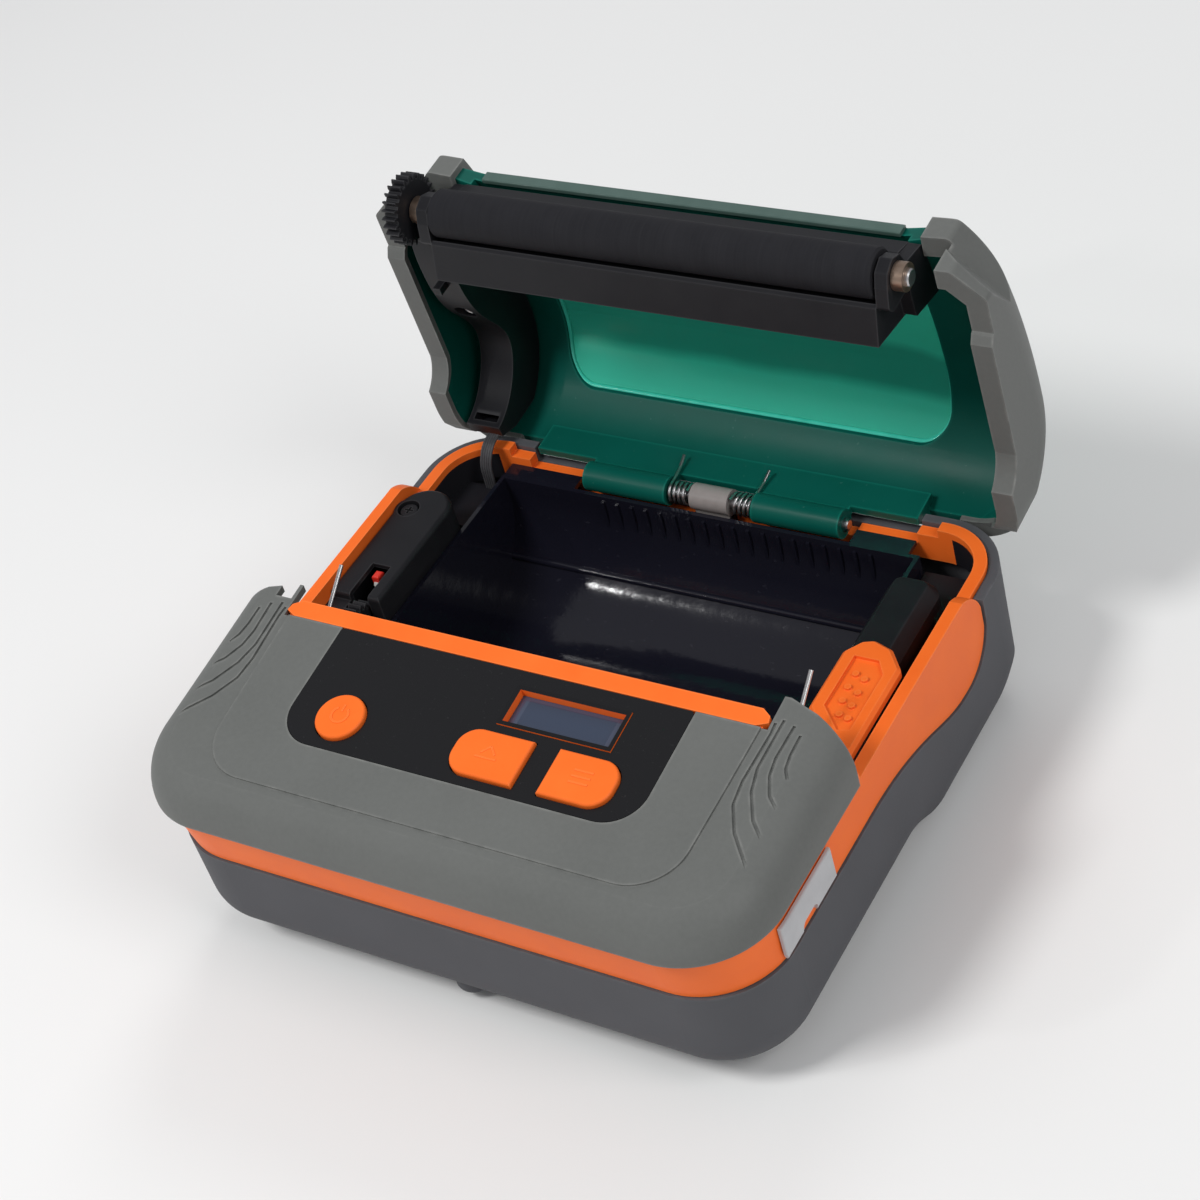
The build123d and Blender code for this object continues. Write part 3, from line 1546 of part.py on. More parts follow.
# Lid bumpers: grey rubber over both sides of the lid, folded round its lower edge
for s, name in ((-1, "lid_bumper_left"), (1, "lid_bumper_right")):
    with BuildPart() as bumper:
        add(lid_form(bumper_proud))
        add(lid_form(0.08), mode=Mode.SUBTRACT)
        add(above_seam(0), mode=Mode.INTERSECT)
        with BuildPart(mode=Mode.PRIVATE) as rim:
            add(lid_form(0.2))
            add(lid_form(-skin - 0.8), mode=Mode.SUBTRACT)
            add(above_seam(0), mode=Mode.INTERSECT)
            add(above_seam(1.4), mode=Mode.SUBTRACT)
        add(rim.part)
        limits = sorted((s * bumper_inner, s * 90))
        with BuildPart(mode=Mode.PRIVATE) as half_space:
            lid_block(limits[0], limits[1], -90, 20, -10, 60)
        add(half_space.part, mode=Mode.INTERSECT)
    bumper.part.label = name
    export_step(bumper.part, "parts/" + name + ".step")
# Lid edge strip: thin pale trim along the lid's front edge
with BuildPart() as lid_edge_strip:
    lid_block(-53.6, 53.6, lid_front - 1.1, lid_front - 0.05, 22.6, 25.6)
    fillet(lid_edge_strip.edges().filter_by(Axis.X).sort_by(Axis.Z)[-2:], radius=0.4)
lid_edge_strip.part.label = "lid_edge_strip"
export_step(lid_edge_strip.part, "parts/lid_edge_strip.step")

# Platen holder: black beam under the lid's front, hollow towards the lid
with BuildPart() as platen_holder:
    clear = platen_radius + 0.9
    with BuildSketch(lid_side(-holder_half)):
        with BuildLine():
            low = radians(-52)
            high = radians(82)
            first = (platen_y + clear * cos(low), platen_z + clear * sin(low))
            last = (platen_y + clear * cos(high), platen_z + clear * sin(high))
            Polyline(last, (-73.4, 15.6), (-72.0, 20.5), (-56.4, 23.4), (-61.0, -0.6),
                     (-69.6, 2.0), first)
            ThreePointArc(first, (platen_y + clear * cos(0.25), platen_z + clear * sin(0.25)),
                          last)
        make_face()
    extrude(amount=2 * holder_half)
    with BuildSketch(lid_side(-holder_half + 2)):
        with BuildLine():
            Polyline((-62.9, 1.8), (-66.6, 3.2), (-65.8, 9.0), (-66.8, 14.0), (-69.4, 17.0),
                     (-69.2, 26.0), (-59.0, 26.0), close=True)
        make_face()
    extrude(amount=2 * holder_half - 4, mode=Mode.SUBTRACT)
    for x in (-36, -12, 12, 36):
        with BuildPart(mode=Mode.PRIVATE) as rib:
            with BuildSketch(lid_side(x - 0.7)):
                with BuildLine():
                    Polyline((-63.4, 1.2), (-67.2, 2.6), (-66.6, 9.0), (-67.4, 14.0),
                             (-70.4, 17.0), (-70.2, 20.2), (-58.4, 22.2), close=True)
                make_face()
            extrude(amount=1.4)
        add(rib.part)
        lid_block(x - 3, x + 3, -68.6, -66.6, 16.0, 23.6)
    for s in (-1, 1):
        near = s * holder_half - (3.0 if s < 0 else 0)
        with BuildPart(mode=Mode.PRIVATE) as cheek:
            with BuildSketch(lid_side(near)):
                with BuildLine():
                    Polyline((-78.8, 8.0), (-77.4, 4.8), (-74.2, 3.4), (-69.6, 2.2),
                             (-67.9, 3.6), (-67.9, 11.8), (-59.0, 11.8), (-56.4, 23.4),
                             (-72.0, 20.5), (-73.6, 12.8), (-77.4, 11.2), close=True)
                make_face()
                fillet(vertices(), radius=0.8)
            extrude(amount=3.0)
        add(cheek.part)
    lid_rod(-70, 70, platen_y, platen_z, platen_shaft_radius + running_gap + 0.3,
            mode=Mode.SUBTRACT)
platen_holder.part.label = "platen_holder"
export_step(platen_holder.part, "parts/platen_holder.step")

# Platen roller, shaft and gear: they turn together
with BuildPart() as platen_roller:
    lid_rod(-platen_half, platen_half, platen_y, platen_z, platen_radius)
    chamfer(platen_roller.edges().filter_by(GeomType.CIRCLE), length=0.5)
    lid_rod(-70, 70, platen_y, platen_z, platen_shaft_radius + 0.01, mode=Mode.SUBTRACT)
platen_roller.part.label = "platen_roller"
export_step(platen_roller.part, "parts/platen_roller.step")
with BuildPart() as platen_shaft:
    lid_rod(-66.9, 63.2, platen_y, platen_z, platen_shaft_radius)
    chamfer(platen_shaft.edges().filter_by(GeomType.CIRCLE), length=0.3)
platen_shaft.part.label = "platen_shaft"
export_step(platen_shaft.part, "parts/platen_shaft.step")
with BuildPart() as platen_gear:
    # the output gear's tooth nearest the line of centres sets this gear's teeth
    facing = output_angle + 180
    step = 360 / output_teeth
    lead = (idler_angle - facing) % step
    shift = lead if lead < step / 2 else lead - step
    tooth = output_angle - shift * output_teeth / platen_teeth + 180 / platen_teeth
    gear_disc(lid_side(gear_plane_a), platen_at, platen_teeth, tooth, gear_face_width)
    lid_rod(-70, -50, platen_y, platen_z, platen_shaft_radius + 0.01, mode=Mode.SUBTRACT)
platen_gear.part.label = "platen_gear"
export_step(platen_gear.part, "parts/platen_gear.step")

# Platen bushes: steel sleeves in the lid's cheeks, which the notches take
with BuildPart() as platen_bushes:
    for near in (59.7, -62.3):
        lid_rod(near, near + 2.6, platen_y, platen_z, bush_radius)
    for near in (56.8, -59.8):
        lid_rod(near, near + 3.0, platen_y, platen_z, platen_shaft_radius + running_gap + 0.28)
    lid_rod(-70, 70, platen_y, platen_z, platen_shaft_radius + running_gap,
            mode=Mode.SUBTRACT)
platen_bushes.part.label = "platen_bushes"
export_step(platen_bushes.part, "parts/platen_bushes.step")


def arm_profile(lift):
    """Section of the arm cover under the lid's skin, its lower edge lifted."""
    with BuildSketch(Plane.XY, mode=Mode.PRIVATE) as shape:
        with BuildLine():
            Spline(
                (-64.4 + lift, 10.2 + lift),
                (-52.0, 9.2 + lift),
                (-37.0, 12.6 + lift),
                (-24.0, 18.4 + lift),
                (-13.5, 13.6 + lift),
                (-7.6 - lift * 0.4, 3.0 + lift),
            )
            Line((-7.6 - lift * 0.4, 3.0 + lift), (-4.6 - lift, 3.4 + lift))
            Line((-4.6 - lift, 3.4 + lift), (-2.6 - lift, 9.0 + lift))
            Line((-2.6 - lift, 9.0 + lift), (-2.6 - lift, 60))
            Line((-2.6 - lift, 60), (-64.4 + lift, 60))
            Line((-64.4 + lift, 60), (-64.4 + lift, 10.2 + lift))
        make_face()
    return shape.sketch


# Lid arm cover: black cover inside the lid's left side, down to the hinge
with BuildPart() as lid_arm_cover:
    with BuildSketch(lid_side(arm_left)):
        add(arm_profile(0))
    extrude(amount=arm_right - arm_left)
    with BuildSketch(lid_side(arm_left + 1.4)):
        add(arm_profile(1.5))
    extrude(amount=arm_right - arm_left - 2.8, mode=Mode.SUBTRACT)
    with BuildPart(mode=Mode.PRIVATE) as posts:
        screw_x = (arm_left + arm_right) / 2
        with BuildSketch(Plane.XY, mode=Mode.PRIVATE) as ring:
            with Locations((screw_x, arm_screw_y)):
                Circle(3.6)
        add(lid_prism(ring.sketch, 9, 40))
        with BuildPart(mode=Mode.PRIVATE) as limit:
            with BuildSketch(lid_side(-90)):
                add(arm_profile(0))
            extrude(amount=60)
        add(limit.part, mode=Mode.INTERSECT)
    add(posts.part)
    with BuildSketch(Plane.XY, mode=Mode.PRIVATE) as bore:
        with Locations((screw_x, arm_screw_y)):
            Circle(2.8)
    add(lid_prism(bore.sketch, 0, arm_screw_z + 1.8), mode=Mode.SUBTRACT)
    with BuildSketch(Plane.XY, mode=Mode.PRIVATE) as hole:
        with Locations((screw_x, arm_screw_y)):
            Circle(1.05)
    add(lid_prism(hole.sketch, 0, 40), mode=Mode.SUBTRACT)
    add(lid_form(-skin - 0.95, open_front=True), mode=Mode.INTERSECT)
    # peg that presses the lid switch
    lid_block(-65.6, -63.6, -51.0, -49.0, 5.9, 11.2)
lid_arm_cover.part.label = "lid_arm_cover"
export_step(lid_arm_cover.part, "parts/lid_arm_cover.step")


def screw(plane, length):
    """Pan-head screw standing on a plane, its shank along the plane's normal."""
    with BuildPart() as shape:
        with BuildSketch(plane):
            Circle(2.3)
        extrude(amount=1.6)
        fillet(shape.faces().sort_by(SortBy.AREA)[-1].edges(), radius=0.4)
        with BuildSketch(plane.offset(1.6)):
            Circle(1.0)
        extrude(amount=length)
        with BuildSketch(plane):
            Rectangle(2.4, 0.5)
            Rectangle(0.5, 2.4)
        extrude(amount=0.7, mode=Mode.SUBTRACT)
    return shape.part


# Screws: one in the arm cover and one in the gear cover, both with crossed slots
with BuildPart() as arm_screw:
    arm_seat = lid_deck(arm_screw_z)
    arm_seat = Plane(
        origin=arm_seat.from_local_coords((screw_x, arm_screw_y, 0)),
        x_dir=arm_seat.x_dir,
        z_dir=arm_seat.z_dir,
    )
    add(screw(arm_seat, 12.0))
arm_screw.part.label = "arm_screw"
export_step(arm_screw.part, "parts/arm_screw.step")
with BuildPart() as gear_cover_screw:
    seat = Plane(
        origin=(-69.2, hinge_setback - 28, hinge_height + block_top - 0.55),
        x_dir=(1, 0, 0),
        z_dir=(0, 0, -1),
    )
    add(screw(seat, 8.0))
gear_cover_screw.part.label = "gear_cover_screw"
export_step(gear_cover_screw.part, "parts/gear_cover_screw.step")

# Lid ribbon: flat strap of wires from the lid's arm down into the case
with BuildPart() as lid_ribbon:
    with BuildSketch(side(-64.0)):
        with BuildLine():
            ribbon = FilletPolyline((1.9, 6.2), (-1.4, 5.0), (-4.4, 1.2), (-4.9, -6.1), radius=2.0)
        trace(ribbon, line_width=0.6)
    extrude(amount=3.4)
lid_ribbon.part.label = "lid_ribbon"
export_step(lid_ribbon.part, "parts/lid_ribbon.step")

# Lid switch: black body with a red plunger under the slot of the gear cover
with BuildPart() as lid_switch:
    block(-66.6, -62.6, -52.4, -47.4, -5.6, 0.8)
    block(-65.9, -63.3, -51.4, -48.4, -1.4, 2, mode=Mode.SUBTRACT)
    block(-62.6, -59.9, -51.0, -48.8, -5.6, -4.2)
lid_switch.part.label = "lid_switch"
export_step(lid_switch.part, "parts/lid_switch.step")
with BuildPart() as lid_switch_plunger:
    block(-65.6, -63.6, -51.1, -48.7, 0.5, 5.4)
    fillet(lid_switch_plunger.faces().sort_by(Axis.Z)[-1].edges(), radius=0.6)
lid_switch_plunger.part.label = "lid_switch_plunger"
export_step(lid_switch_plunger.part, "parts/lid_switch_plunger.step")


def coil_point(s, turn):
    """Point of the spring's wire after a number of turns."""
    angle = radians(90) - 2 * pi * turn
    x = s * (spring_inner + spring_pitch * turn)
    return Vector(
        x,
        hinge_setback + spring_radius * cos(angle),
        hinge_height + spring_radius * sin(angle),
    )


def coil_tangent(s, turn):
    """Direction of the spring's wire after a number of turns."""
    angle = radians(90) - 2 * pi * turn
    run = 2 * pi * spring_radius
    return Vector(s * spring_pitch, run * sin(angle), -run * cos(angle)).normalized()


def biarc(start, start_way, end, end_way):
    """Two arcs that join two points and leave each along its own direction."""
    span = end - start
    total = start_way + end_way
    ahead = span.dot(total)
    spread = 2 * (1 - start_way.dot(end_way))
    reach = (-ahead + sqrt(ahead * ahead + spread * span.dot(span))) / spread
    middle = (start + end + (start_way - end_way) * reach) * 0.5
    middle_way = (end - end_way * reach - start - start_way * reach).normalized()
    TangentArc(start, middle, tangent=start_way)
    TangentArc(middle, end, tangent=middle_way)


# Lid springs: two torsion springs on the hinge pin, each one tube with two legs
for s, name in ((-1, "lid_spring_left"), (1, "lid_spring_right")):
    with BuildPart() as lid_spring:
        with BuildLine() as wire_line:
            first = coil_point(s, 0)
            Line(first - coil_tangent(s, 0) * 1.8, first)
            for half_turn in range(2 * spring_turns):
                near = half_turn / 2
                far = near + 0.5
                biarc(
                    coil_point(s, near),
                    coil_tangent(s, near),
                    coil_point(s, far),
                    coil_tangent(s, far),
                )
            last = coil_point(s, spring_turns)
            way = coil_tangent(s, spring_turns)
            FilletPolyline(
                last,
                last + way * 2.4,
                last + Vector(s * 0.4, 5.6, 0.45),
                last + Vector(s * 0.6, 8.6, 1.6),
                radius=1.2,
            )
        path = wire_line.wire()
        with BuildSketch(Plane(origin=path @ 0, z_dir=path % 0)):
            Circle(spring_wire / 2)
        sweep(path=path)
    lid_spring.part.label = name
    export_step(lid_spring.part, "parts/" + name + ".step")
    samples = [path @ (i / 1500) for i in range(1501)]
    skip = int(0.5 * 1500 * 2 * pi * spring_radius / path.length)
    least = min(
        (samples[i] - samples[j]).length
        for i in range(0, 1501, 3)
        for j in range(i + skip, 1501, 3)
    )
    print(name, "least gap to itself", round(least - spring_wire, 3))
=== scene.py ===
import math

import bmesh
import bpy
from mathutils import Matrix, Vector


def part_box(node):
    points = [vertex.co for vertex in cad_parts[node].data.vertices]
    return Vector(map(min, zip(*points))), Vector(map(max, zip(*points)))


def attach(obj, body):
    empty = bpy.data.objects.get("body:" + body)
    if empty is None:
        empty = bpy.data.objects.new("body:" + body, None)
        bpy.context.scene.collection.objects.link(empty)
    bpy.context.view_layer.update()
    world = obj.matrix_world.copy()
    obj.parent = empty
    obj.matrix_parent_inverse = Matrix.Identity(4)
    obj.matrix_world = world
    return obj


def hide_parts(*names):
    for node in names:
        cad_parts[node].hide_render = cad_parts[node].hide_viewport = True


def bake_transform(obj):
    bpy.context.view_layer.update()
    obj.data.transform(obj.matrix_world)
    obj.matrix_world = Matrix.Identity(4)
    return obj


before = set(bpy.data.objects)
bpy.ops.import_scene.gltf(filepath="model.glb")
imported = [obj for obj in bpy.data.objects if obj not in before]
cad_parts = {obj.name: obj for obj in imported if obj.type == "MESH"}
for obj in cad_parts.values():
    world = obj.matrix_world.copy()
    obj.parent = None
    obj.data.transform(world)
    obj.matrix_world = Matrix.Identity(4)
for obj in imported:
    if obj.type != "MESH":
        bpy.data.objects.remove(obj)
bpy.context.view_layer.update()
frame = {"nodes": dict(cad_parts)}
nodes = frame["nodes"]

# ---- Camera
# The printer is seen from its right front corner, well above the table, through a
# long lens held a little askew, so that the lid leans to the right in the picture.
lens = bpy.data.cameras.new("camera")
lens.lens = 78.19
lens.sensor_width = 36.0
camera = bpy.data.objects.new("camera", lens)
bpy.context.scene.collection.objects.link(camera)
to_right = Vector((0.85017, 0.47555, -0.22597))
to_top = Vector((-0.18581, 0.67257, 0.71633))
to_back = to_right.cross(to_top)
camera.matrix_world = Matrix.Translation((0.286314, -0.348270, 0.433882)) @ Matrix(
    (to_right, to_top, to_back)
).transposed().to_4x4()
bpy.context.scene.camera = camera
bpy.context.scene.view_settings.view_transform = "Standard"


# ---- Strap between the lid and the case
# A flat strap of five black covered wires, laid side by side, that joins lid and case.
# It comes out of the black arm cover in the lid and dives between rim and roll bay.
class Value:
    """A socket of a node tree, so that shader maths reads as plain sums."""

    def __init__(self, nodes, socket):
        self.nodes = nodes
        self.socket = socket

    def maths(self, operation, first, second=0.0):
        return self.nodes.node("ShaderNodeMath", {"operation": operation}, {0: first, 1: second})

    def __abs__(self):
        return self.maths("ABSOLUTE", self)

    def __add__(self, other):
        return self.maths("ADD", self, other)

    def __radd__(self, other):
        return self.maths("ADD", other, self)

    def __rsub__(self, other):
        return self.maths("SUBTRACT", other, self)

    def __mul__(self, other):
        return self.maths("MULTIPLY", self, other)

    def __rmul__(self, other):
        return self.maths("MULTIPLY", other, self)

    def __gt__(self, other):
        return self.maths("GREATER_THAN", self, other)

    def __lt__(self, other):
        return self.maths("LESS_THAN", self, other)


class NodeTree:
    """A node tree with its closing shader."""

    def __init__(self, tree, shader):
        self.tree = tree
        self.shader = tree.nodes[shader]

    def node(self, kind, settings=None, inputs=None, output=0):
        """Any node: its settings first, then the values or links of its sockets."""
        made = self.tree.nodes.new(kind)
        for name, value in (settings or {}).items():
            setattr(made, name, value)
        for name, value in (inputs or {}).items():
            if isinstance(value, Value):
                self.tree.links.new(value.socket, made.inputs[name])
            else:
                made.inputs[name].default_value = value
        return Value(self, made.outputs[output])

    def set(self, socket, value):
        """Gives one of the shader's sockets a value or a link."""
        if isinstance(value, Value):
            self.tree.links.new(value.socket, self.shader.inputs[socket])
        elif isinstance(value, tuple) and len(value) == 3:
            self.shader.inputs[socket].default_value = (*value, 1)
        else:
            self.shader.inputs[socket].default_value = value


class Finish(NodeTree):
    """One surface finish: a material, its shader and its nodes."""

    def __init__(self, name, **sockets):
        self.material = bpy.data.materials.new(name)
        self.material.use_nodes = True
        super().__init__(self.material.node_tree, "Principled BSDF")
        self.place = self.node("ShaderNodeTexCoord", output="Object")
        for socket, value in sockets.items():
            self.set(socket.replace("_", " "), value)

    def along(self, axis):
        """Distance along one of the axes of the object."""
        return self.node("ShaderNodeSeparateXYZ", None, {0: self.place}, output=axis)

    def noise(self, size, detail=3.0, stretch=(1, 1, 1)):
        """Cloudy pattern whose spots are about size metres wide."""
        place = self.node("ShaderNodeMapping", None, {"Vector": self.place, "Scale": stretch})
        return self.node(
            "ShaderNodeTexNoise", None, {"Vector": place, "Scale": 1 / size, "Detail": detail}
        )

    def ramp(self, value, low, high):
        """Value spread from 0 at low to 1 at high."""
        return self.node("ShaderNodeMapRange", None, {0: value, 1: low, 2: high})

    def blend(self, first, second, share):
        """First colour passing into the second."""
        colours = {
            key: colour if isinstance(colour, Value) else (*colour, 1)
            for key, colour in ((6, first), (7, second))
        }
        return self.node("ShaderNodeMix", {"data_type": "RGBA"}, {0: share, **colours}, output=2)

    def edges(self, width):
        """1 on sharp edges and 0 on flats, found by rounding the surface by width."""
        rounded = self.node("ShaderNodeBevel", {"samples": 4}, {"Radius": width})
        true = self.node("ShaderNodeNewGeometry", output="Normal")
        alike = self.node(
            "ShaderNodeVectorMath", {"operation": "DOT_PRODUCT"}, {0: rounded, 1: true}, output=1
        )
        return self.ramp(1 - alike, 0.004, 0.12)

    def bump(self, height, depth, strength=1.0):
        """Small relief of that depth in metres."""
        relief = self.node(
            "ShaderNodeBump", None, {"Strength": strength, "Distance": depth, "Height": height}
        )
        self.set("Normal", relief)

    def on(self, *names):
        """Puts the finish on pieces, or on nodes of the frame by name."""
        for name in names:
            piece = nodes[name] if isinstance(name, str) else name
            if not piece.material_slots:
                piece.data.materials.append(self.material)
            for slot in piece.material_slots:
                slot.material = self.material


def piece_of(name, shape, body, finish, smooth=True):
    """Object made from a bmesh, with its finish, riding on a body."""
    bmesh.ops.remove_doubles(shape, verts=shape.verts, dist=1e-6)
    bmesh.ops.recalc_face_normals(shape, faces=shape.faces)
    mesh = bpy.data.meshes.new(name)
    shape.to_mesh(mesh)
    shape.free()
    piece = bpy.data.objects.new(name, mesh)
    bpy.context.scene.collection.objects.link(piece)
    if smooth:
        mesh.polygons.foreach_set("use_smooth", [True] * len(mesh.polygons))
        mesh.set_sharp_from_angle(angle=math.radians(40))
    finish.on(piece)
    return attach(piece, body)


def thread(shape, points, radius, closed=False):
    """Adds to a bmesh a round thread that runs smoothly through the points."""
    guide = bpy.data.curves.new("thread_guide", "CURVE")
    guide.dimensions = "3D"
    guide.bevel_depth = radius
    guide.bevel_resolution = 3
    guide.use_fill_caps = not closed
    run = guide.splines.new("NURBS")
    run.points.add(len(points) - 1)
    for point, place in zip(run.points, points):
        point.co = (*place, 1)
    run.order_u = 3
    run.use_endpoint_u = not closed
    run.use_cyclic_u = closed
    holder = bpy.data.objects.new("thread_guide", guide)
    bpy.context.scene.collection.objects.link(holder)
    bpy.context.view_layer.update()
    seen = holder.evaluated_get(bpy.context.evaluated_depsgraph_get())
    shape.from_mesh(bpy.data.meshes.new_from_object(seen))
    bpy.data.objects.remove(holder)


strap_cover = Finish("strap_cover", Roughness=0.42)
strap_cloud = strap_cover.noise(0.002)
strap_cover.set("Base Color", strap_cover.blend((0.03, 0.03, 0.033), (0.075, 0.075, 0.08), strap_cloud))
strap_cover.bump(strap_cover.noise(0.0002), 0.00002)

wire_route = [
    (0.0335, 0.0424),
    (0.0317, 0.0420),
    (0.0299, 0.0413),
    (0.0283, 0.0396),
    (0.0271, 0.0376),
    (0.0267, 0.0350),
    (0.0266, 0.0304),
]
wire_radius = 0.00036
wire_pitch = 0.00066
first_wire = -0.06363
strap = bmesh.new()
for k in range(5):
    across = first_wire + wire_pitch * k
    thread(strap, [(across, y, z) for y, z in wire_route], wire_radius)
strap_mesh = bpy.data.meshes.new("lid_strap")
strap.to_mesh(strap_mesh)
strap.free()
lid_strap = bpy.data.objects.new("lid_strap", strap_mesh)
bpy.context.scene.collection.objects.link(lid_strap)
strap_mesh.polygons.foreach_set("use_smooth", [True] * len(strap_mesh.polygons))
strap_cover.on(lid_strap)
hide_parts("lid_ribbon")
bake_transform(lid_strap)

# ---- Bottom shell and battery door
# The lower half of the case, moulded in one piece and coated with a dark grey rubbery
# skin, with a flat battery door on the underside that turns on its rear edge.
shell_coat = Finish("shell_coat", Specular_IOR_Level=0.2)
shell_cloud = shell_coat.noise(0.02, 4)
shell_rub = shell_coat.edges(0.0012) * shell_coat.ramp(shell_coat.noise(0.004, 4), 0.35, 0.7)
shell_tone = shell_coat.blend((0.072, 0.073, 0.08), (0.1, 0.101, 0.11), shell_cloud)
shell_coat.set("Base Color", shell_coat.blend(shell_tone, (0.16, 0.16, 0.165), shell_rub * 0.55))
shell_coat.set("Roughness", 0.56 + 0.14 * shell_cloud)
shell_coat.bump(shell_coat.noise(0.00035, 2), 0.000022)
shell_coat.on("bottom_shell", "battery_door")

# ---- Front cover and lid bumpers
# The mid grey shells over the front and over the lid's sides: hard plastic under a
# velvety coating, a shade warmer than the shell, rubbed paler along the edges.
cover_coat = Finish("cover_coat", Specular_IOR_Level=0.25)
cover_cloud = cover_coat.noise(0.03, 5)
cover_fine = cover_coat.noise(0.0011, 3)
cover_rub = cover_coat.edges(0.001) * cover_coat.ramp(cover_coat.noise(0.003, 4), 0.3, 0.75)
cover_tone = cover_coat.blend((0.102, 0.106, 0.1), (0.138, 0.143, 0.136), cover_cloud)
cover_tone = cover_coat.blend(cover_tone, (0.17, 0.175, 0.168), cover_fine * 0.35)
cover_coat.set("Base Color", cover_coat.blend(cover_tone, (0.3, 0.3, 0.285), cover_rub * 0.6))
cover_coat.set("Roughness", 0.46 + 0.12 * cover_cloud)
cover_coat.bump(cover_coat.noise(0.0003, 2), 0.00002)
cover_coat.on("front_cover", "lid_bumper_left", "lid_bumper_right")

# ---- Middle frame, release lever, keys and display frame
# Satin orange mouldings: the band round the case with its rails, rim and tear lip,
# the ribbed lever on the right, the three keys and the sunk frame of the display.
def orange_tone(finish, cloud):
    """Moulded orange, a little uneven."""
    return finish.blend((0.84, 0.13, 0.014), (0.95, 0.18, 0.026), cloud)


orange = Finish("orange_plastic", Specular_IOR_Level=0.2)
orange_cloud = orange.noise(0.012, 4)
# Painted highlight: the sharp edges are painted a lighter orange.
orange_edge_highlight = orange.edges(0.0006)
orange.set(
    "Base Color", orange.blend(orange_tone(orange, orange_cloud), (1.0, 0.3, 0.09), orange_edge_highlight * 0.4)
)
orange.set("Roughness", 0.44 + 0.1 * orange_cloud)
orange.bump(orange.noise(0.00028, 2), 0.000012)
orange.on("release_lever", "power_button", "feed_button", "menu_button")

# The frame is coloured near black in the low pockets round the roll bay.
frame_orange = Finish("frame_orange", Specular_IOR_Level=0.25)
frame_cloud = frame_orange.noise(0.012, 4)
# Painted highlight: the sharp edges are painted a lighter orange.
frame_edge_highlight = frame_orange.edges(0.0006)
frame_tone = frame_orange.blend(
    orange_tone(frame_orange, frame_cloud), (1.0, 0.3, 0.09), frame_edge_highlight * 0.4
)
pocket_half, pocket_front, pocket_rear, pocket_top = 0.0722, -0.0505, 0.0322, 0.0372
to_rear = frame_orange.along("Y")
pocket = (abs(frame_orange.along("X")) < pocket_half) * (to_rear < pocket_rear)
pocket = pocket * (to_rear > pocket_front) * (frame_orange.along("Z") < pocket_top)
frame_orange.set("Base Color", frame_orange.blend(frame_tone, (0.012, 0.012, 0.015), pocket))
frame_orange.set("Roughness", 0.44 + 0.1 * frame_cloud)
frame_orange.bump(frame_orange.noise(0.00028, 2), 0.000012)
frame_orange.on("mid_frame")

# The display's frame has a black front, level with the panel, so only its walls are orange.
panel_normal = (0.0, -0.1165, 0.9932)
bezel_orange = Finish("bezel_orange", Specular_IOR_Level=0.25, Roughness=0.36)
bezel_tone = orange_tone(bezel_orange, bezel_orange.noise(0.004, 4))
facing = bezel_orange.node("ShaderNodeNewGeometry", output="Normal")
upright = bezel_orange.node(
    "ShaderNodeVectorMath", {"operation": "DOT_PRODUCT"}, {0: facing, 1: panel_normal}, output=1
)
bezel_orange.set("Base Color", bezel_orange.blend(bezel_tone, (0.008, 0.008, 0.009), upright > 0.9))
bezel_orange.bump(bezel_orange.noise(0.00028, 2), 0.00001)
bezel_orange.on("display_bezel")


def key_mark(name, key, body, draw):
    """Low raised mark on a key's face, drawn flat and then laid on the key."""
    out = Vector(panel_normal)
    upwards = out.cross(Vector((1, 0, 0)))
    low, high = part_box(key)
    face = max(vertex.co.dot(out) for vertex in nodes[key].data.vertices)
    middle = (low + high) / 2
    middle += out * (face - middle.dot(out))
    mark = bmesh.new()
    draw(mark)
    outer = bmesh.ops.extrude_face_region(mark, geom=mark.faces[:])
    raised = [e for e in outer["geom"] if isinstance(e, bmesh.types.BMVert)]
    bmesh.ops.translate(mark, verts=raised, vec=(0, 0, 0.00026))
    crown = [f for f in mark.faces if f.calc_center_median().z > 0.00025]
    rims = {e for f in crown for e in f.edges if any(g not in crown for g in e.link_faces)}
    bmesh.ops.bevel(
        mark, geom=list(rims), offset=0.00007, segments=2, profile=0.5, affect="EDGES", material=-1
    )
    bmesh.ops.translate(mark, verts=mark.verts, vec=(0, 0, -0.00012))
    turn = Matrix((Vector((1, 0, 0)), upwards, out)).transposed().to_4x4()
    bmesh.ops.transform(mark, matrix=Matrix.Translation(middle) @ turn, verts=mark.verts)
    return piece_of(name, mark, body, orange)


def bar(mark, centre, size, turn=0.0):
    """Flat bar of a key mark."""
    made = bmesh.ops.create_grid(mark, x_segments=1, y_segments=1, size=0.5)
    place = Matrix.Translation(Vector((*centre, 0))) @ Matrix.Rotation(turn, 4, "Z")
    bmesh.ops.transform(mark, matrix=place @ Matrix.Diagonal((*size, 1, 1)), verts=made["verts"])


def power_mark(mark):
    """Broken ring with a bar in its gap."""
    start = mark.verts.new((0.0017, 0.0, 0.0))
    end = mark.verts.new((0.0023, 0.0, 0.0))
    edge = mark.edges.new((start, end))
    first = Matrix.Rotation(math.radians(125), 4, "Z")
    bmesh.ops.transform(mark, matrix=first, verts=[start, end])
    bmesh.ops.spin(
        mark,
        geom=[start, end, edge],
        cent=(0, 0, 0),
        axis=(0, 0, 1),
        angle=math.radians(290),
        steps=40,
    )
    bar(mark, (0, 0.0018), (0.00055, 0.0018))


def feed_mark(mark):
    """Sheet edge with an arrow head leaving it."""
    bar(mark, (0, -0.0012), (0.0052, 0.0005))
    bar(mark, (-0.00088, 0.0008), (0.0005, 0.0026), math.radians(-42))
    bar(mark, (0.00088, 0.0008), (0.0005, 0.0026), math.radians(42))


def menu_mark(mark):
    """Three short bars one above the other."""
    for level in (-0.0015, 0.0, 0.0015):
        bar(mark, (0, level), (0.0046, 0.0005))


